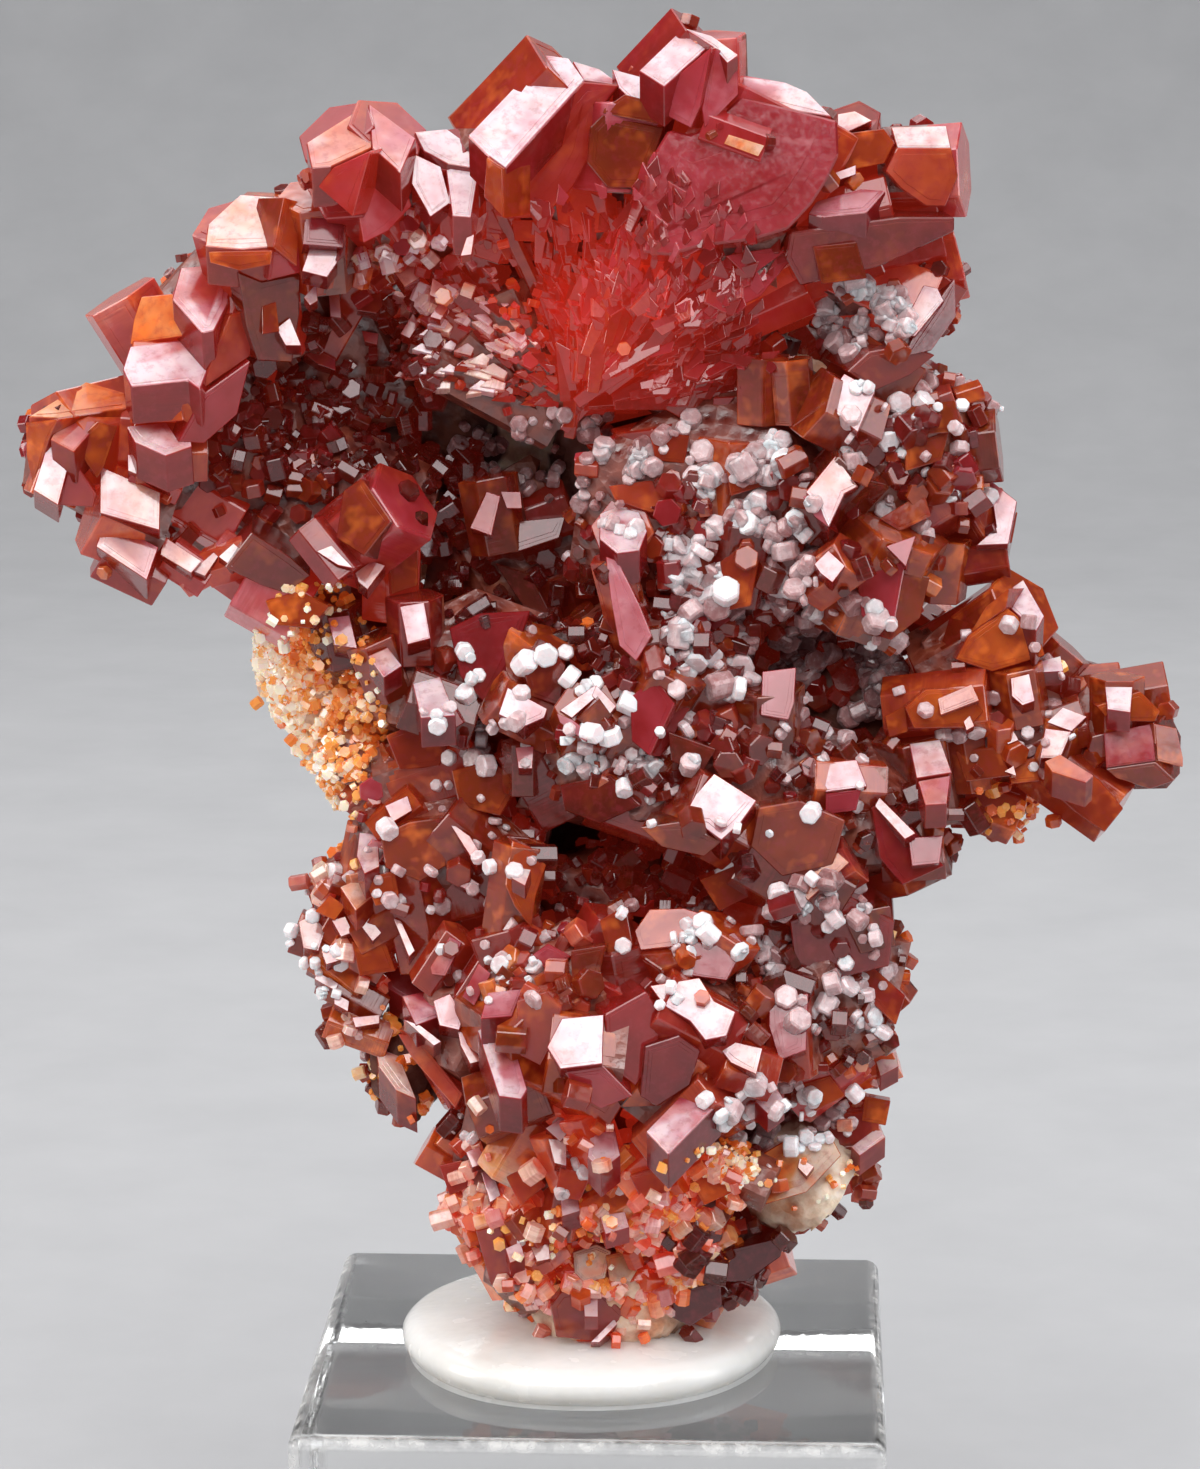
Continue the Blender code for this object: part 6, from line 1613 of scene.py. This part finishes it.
def rough_rock(finish):
    """The matrix with its facets broken into small ledges and pits."""
    thing = merged_copy("rough_rock", "matrix")
    remesh = thing.modifiers.new("remesh", "REMESH")
    remesh.mode = "VOXEL"
    remesh.voxel_size = ROCK_VOXEL
    apply_modifiers(thing)
    shape = bmesh.new()
    shape.from_mesh(thing.data)
    for _ in range(3):
        bmesh.ops.smooth_vert(
            shape, verts=shape.verts, factor=0.5, use_axis_x=True, use_axis_y=True, use_axis_z=True)
    shape.normal_update()
    moves = []
    for vert in shape.verts:
        place = vert.co / MM
        ledge = noise.noise(place * 0.22) * 0.7 + abs(noise.noise(place * 0.5)) * 0.9 - 0.3
        grit = noise.noise(place * 1.4) * 0.36
        moves.append(vert.normal * (ledge + grit - 0.12) * MM)
    for vert, move in zip(shape.verts, moves):
        vert.co += move
    bare = []
    for vert in shape.verts:
        place = vert.co / MM
        limit = float(np.interp(place.z, *RIGHT_EDGE))
        if place.x > limit:
            vert.co.x = (limit + (place.x - limit) * 0.12) * MM
        shown = max(
            1.2 - math.hypot((place.x - x) / half_x, (place.z - z) / half_z)
            for x, z, half_x, half_z in BARE)
        behind = 0.9 * noise.noise(place * 0.09) + 0.55 if place.y > 6.0 else 0.0
        bare.append(min(1.0, max(0.0, shown, behind)))
    shape.to_mesh(thing.data)
    shape.free()
    thing.data.attributes.new("bare", "FLOAT", "POINT").data.foreach_set("value", bare)
    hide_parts("matrix")
    return settle(thing, finish, 60.0)


def putty_pad(finish):
    """The pad of putty: a fuller lip, thumb dents, and a crown that closes round the rock."""
    low, high = (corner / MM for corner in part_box("mounting_putty"))
    middle = (low + high) / 2
    radius = (high.x - low.x) / 2
    tall = high.z - low.z
    outline = [(0.0, 0.0), (radius * 0.965, 0.0)]
    for step in range(9):
        angle = math.radians(-55 + step * 17)
        outline.append((
            radius - tall * 0.50 * (1 - math.cos(angle)), tall * (0.40 + 0.40 * math.sin(angle))))
    outline += [(radius * 0.62, tall * 0.93), (radius * 0.35, tall * 1.0), (0.0, tall * 1.02)]
    shape = bmesh.new()
    rim, edges = chain(shape, [(x, 0.0, z) for x, z in outline])
    bmesh.ops.spin(
        shape, geom=rim + edges, cent=(0, 0, 0), axis=(0, 0, 1), dvec=(0, 0, 0),
        angle=2 * math.pi, steps=96, use_merge=True,
    )
    bmesh.ops.remove_doubles(shape, verts=shape.verts, dist=0.001)
    bmesh.ops.recalc_face_normals(shape, faces=shape.faces)
    for vert in shape.verts:
        x, y, z = vert.co
        angle = math.atan2(y, x)
        uneven = 1.0 + 0.016 * math.sin(2 * angle + 0.6) + 0.010 * math.sin(5 * angle)
        dent = noise.noise(Vector((x * 0.16, y * 0.16, 5.0))) * 0.30 * min(1.0, z / tall + 0.1)
        vert.co = ((middle.x + x * uneven * 0.99) * MM, (middle.y + y * uneven * 0.99) * MM,
                   (low.z - 0.3 + z + dent * (z > 0.01)) * MM)
    thing = object_of("putty_pad", shape)
    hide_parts("mounting_putty")
    return settle(thing, finish, 70.0)


def clear_block(finish, half_side, height):
    """The block, with rounder edges than its solid."""
    shape = bmesh.new()
    bmesh.ops.create_cube(shape, size=1.0)
    bmesh.ops.scale(shape, vec=(2 * half_side, 2 * half_side, height), verts=shape.verts)
    bmesh.ops.translate(shape, vec=(0.0, 0.0, height / 2), verts=shape.verts)
    soften(shape, BLOCK_EDGE, segments=5, clamp=False)
    thing = object_of("clear_block", shape)
    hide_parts("acrylic_block")
    return settle(thing, finish, 30.0)


# ---------------------------------------------------------------- stage, lights, camera
def floor(finish):
    """A pale floor that sweeps up behind the specimen."""
    shape = bmesh.new()
    profile = [(-1.2, -0.0003), (0.45, -0.0003)]
    for step in range(1, 13):
        angle = math.radians(step * 7.5)
        profile.append((0.45 + 0.35 * math.sin(angle), 0.35 * (1 - math.cos(angle))))
    profile.append((0.80, 1.4))
    _, edges = chain(shape, [(-1.5, y, z) for y, z in profile])
    draw_out(shape, bmesh.ops.extrude_edge_only(shape, edges=edges), (3.0, 0.0, 0.0))
    bmesh.ops.recalc_face_normals(shape, faces=shape.faces)
    thing = object_of("floor", shape)
    thing.data.materials.append(finish.material)
    thing.data.shade_smooth()


def soft_light(name, place, aim, width, height, power, colour=(1.0, 1.0, 1.0)):
    """A soft box at a place, turned to an aim."""
    lamp = bpy.data.lights.new(name, "AREA")
    lamp.shape = "RECTANGLE"
    lamp.size = width
    lamp.size_y = height
    lamp.energy = power
    lamp.color = colour
    thing = bpy.data.objects.new(name, lamp)
    thing.location = place
    thing.rotation_euler = (Vector(aim) - Vector(place)).to_track_quat("-Z", "Y").to_euler()
    bpy.context.scene.collection.objects.link(thing)


def lights():
    """Five soft boxes, and a weak even surround."""
    aim = (0.0, 0.0, 0.07)
    soft_light("front_box", (0.02, -0.37, 0.55), aim, 0.80, 0.50, 5.3)
    soft_light("sky_box", (0.0, 0.12, 0.70), aim, 1.10, 0.80, 4.0, (0.96, 0.98, 1.0))
    soft_light("left_box", (-0.52, -0.12, 0.26), aim, 0.24, 0.42, 1.7, (1.0, 0.96, 0.92))
    soft_light("right_box", (0.52, -0.12, 0.22), aim, 0.24, 0.42, 1.0, (0.94, 0.97, 1.0))
    soft_light("back_box", (0.05, 0.42, 0.42), aim, 0.40, 0.24, 0.8)
    world = bpy.data.worlds.new("studio")
    world.use_nodes = True
    world.node_tree.nodes["Background"].inputs["Color"].default_value = (0.86, 0.85, 0.86, 1.0)
    world.node_tree.nodes["Background"].inputs["Strength"].default_value = 0.10
    bpy.context.scene.world = world
    bpy.context.scene.view_settings.view_transform = "Standard"


def camera():
    """A long lens that looks down on the specimen a little."""
    lens = bpy.data.cameras.new("camera")
    lens.sensor_width = 36.0
    lens.lens = 111.43
    lens.clip_start = 0.01
    thing = bpy.data.objects.new("camera", lens)
    thing.location = (0.012969, -0.290351, 0.127432)
    thing.rotation_euler = (math.radians(78.2), 0.0, math.radians(2.55))
    bpy.context.scene.collection.objects.link(thing)
    bpy.context.scene.camera = thing


# ---------------------------------------------------------------- the whole
def build():
    """Every piece, in the order in which they stand on each other."""
    half_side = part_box("acrylic_block")[1].x
    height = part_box("acrylic_block")[1].z
    vanadinite = vanadinite_finish()
    bed = bed_finish()
    for name in CRYSTAL_NODES:
        NODES[name].data.materials.clear()
        NODES[name].data.materials.append(bed.material)
    prisms = large_crystals(vanadinite)
    prisms.append(fan(vanadinite))
    ground = Ground(prisms)
    prisms.append(fan_scales(vanadinite, ground))
    ground.take(prisms[-1])
    prisms += shown_faces(vanadinite, ground)
    prisms.append(fan_chips(vanadinite, ground))
    ground.take(prisms[-1])
    for growth in prisms:
        growth.settle(ground)
    finishes = {STUB: vanadinite, DRUSE: druse_finish(), EMBER: ember_finish()}
    small_crystals(ground, finishes)
    rough_rock(rock_finish())
    putty_pad(putty_finish())
    clear_block(acrylic_finish(half_side, height), half_side, height)
    floor(floor_finish())
    lights()
    camera()


build()
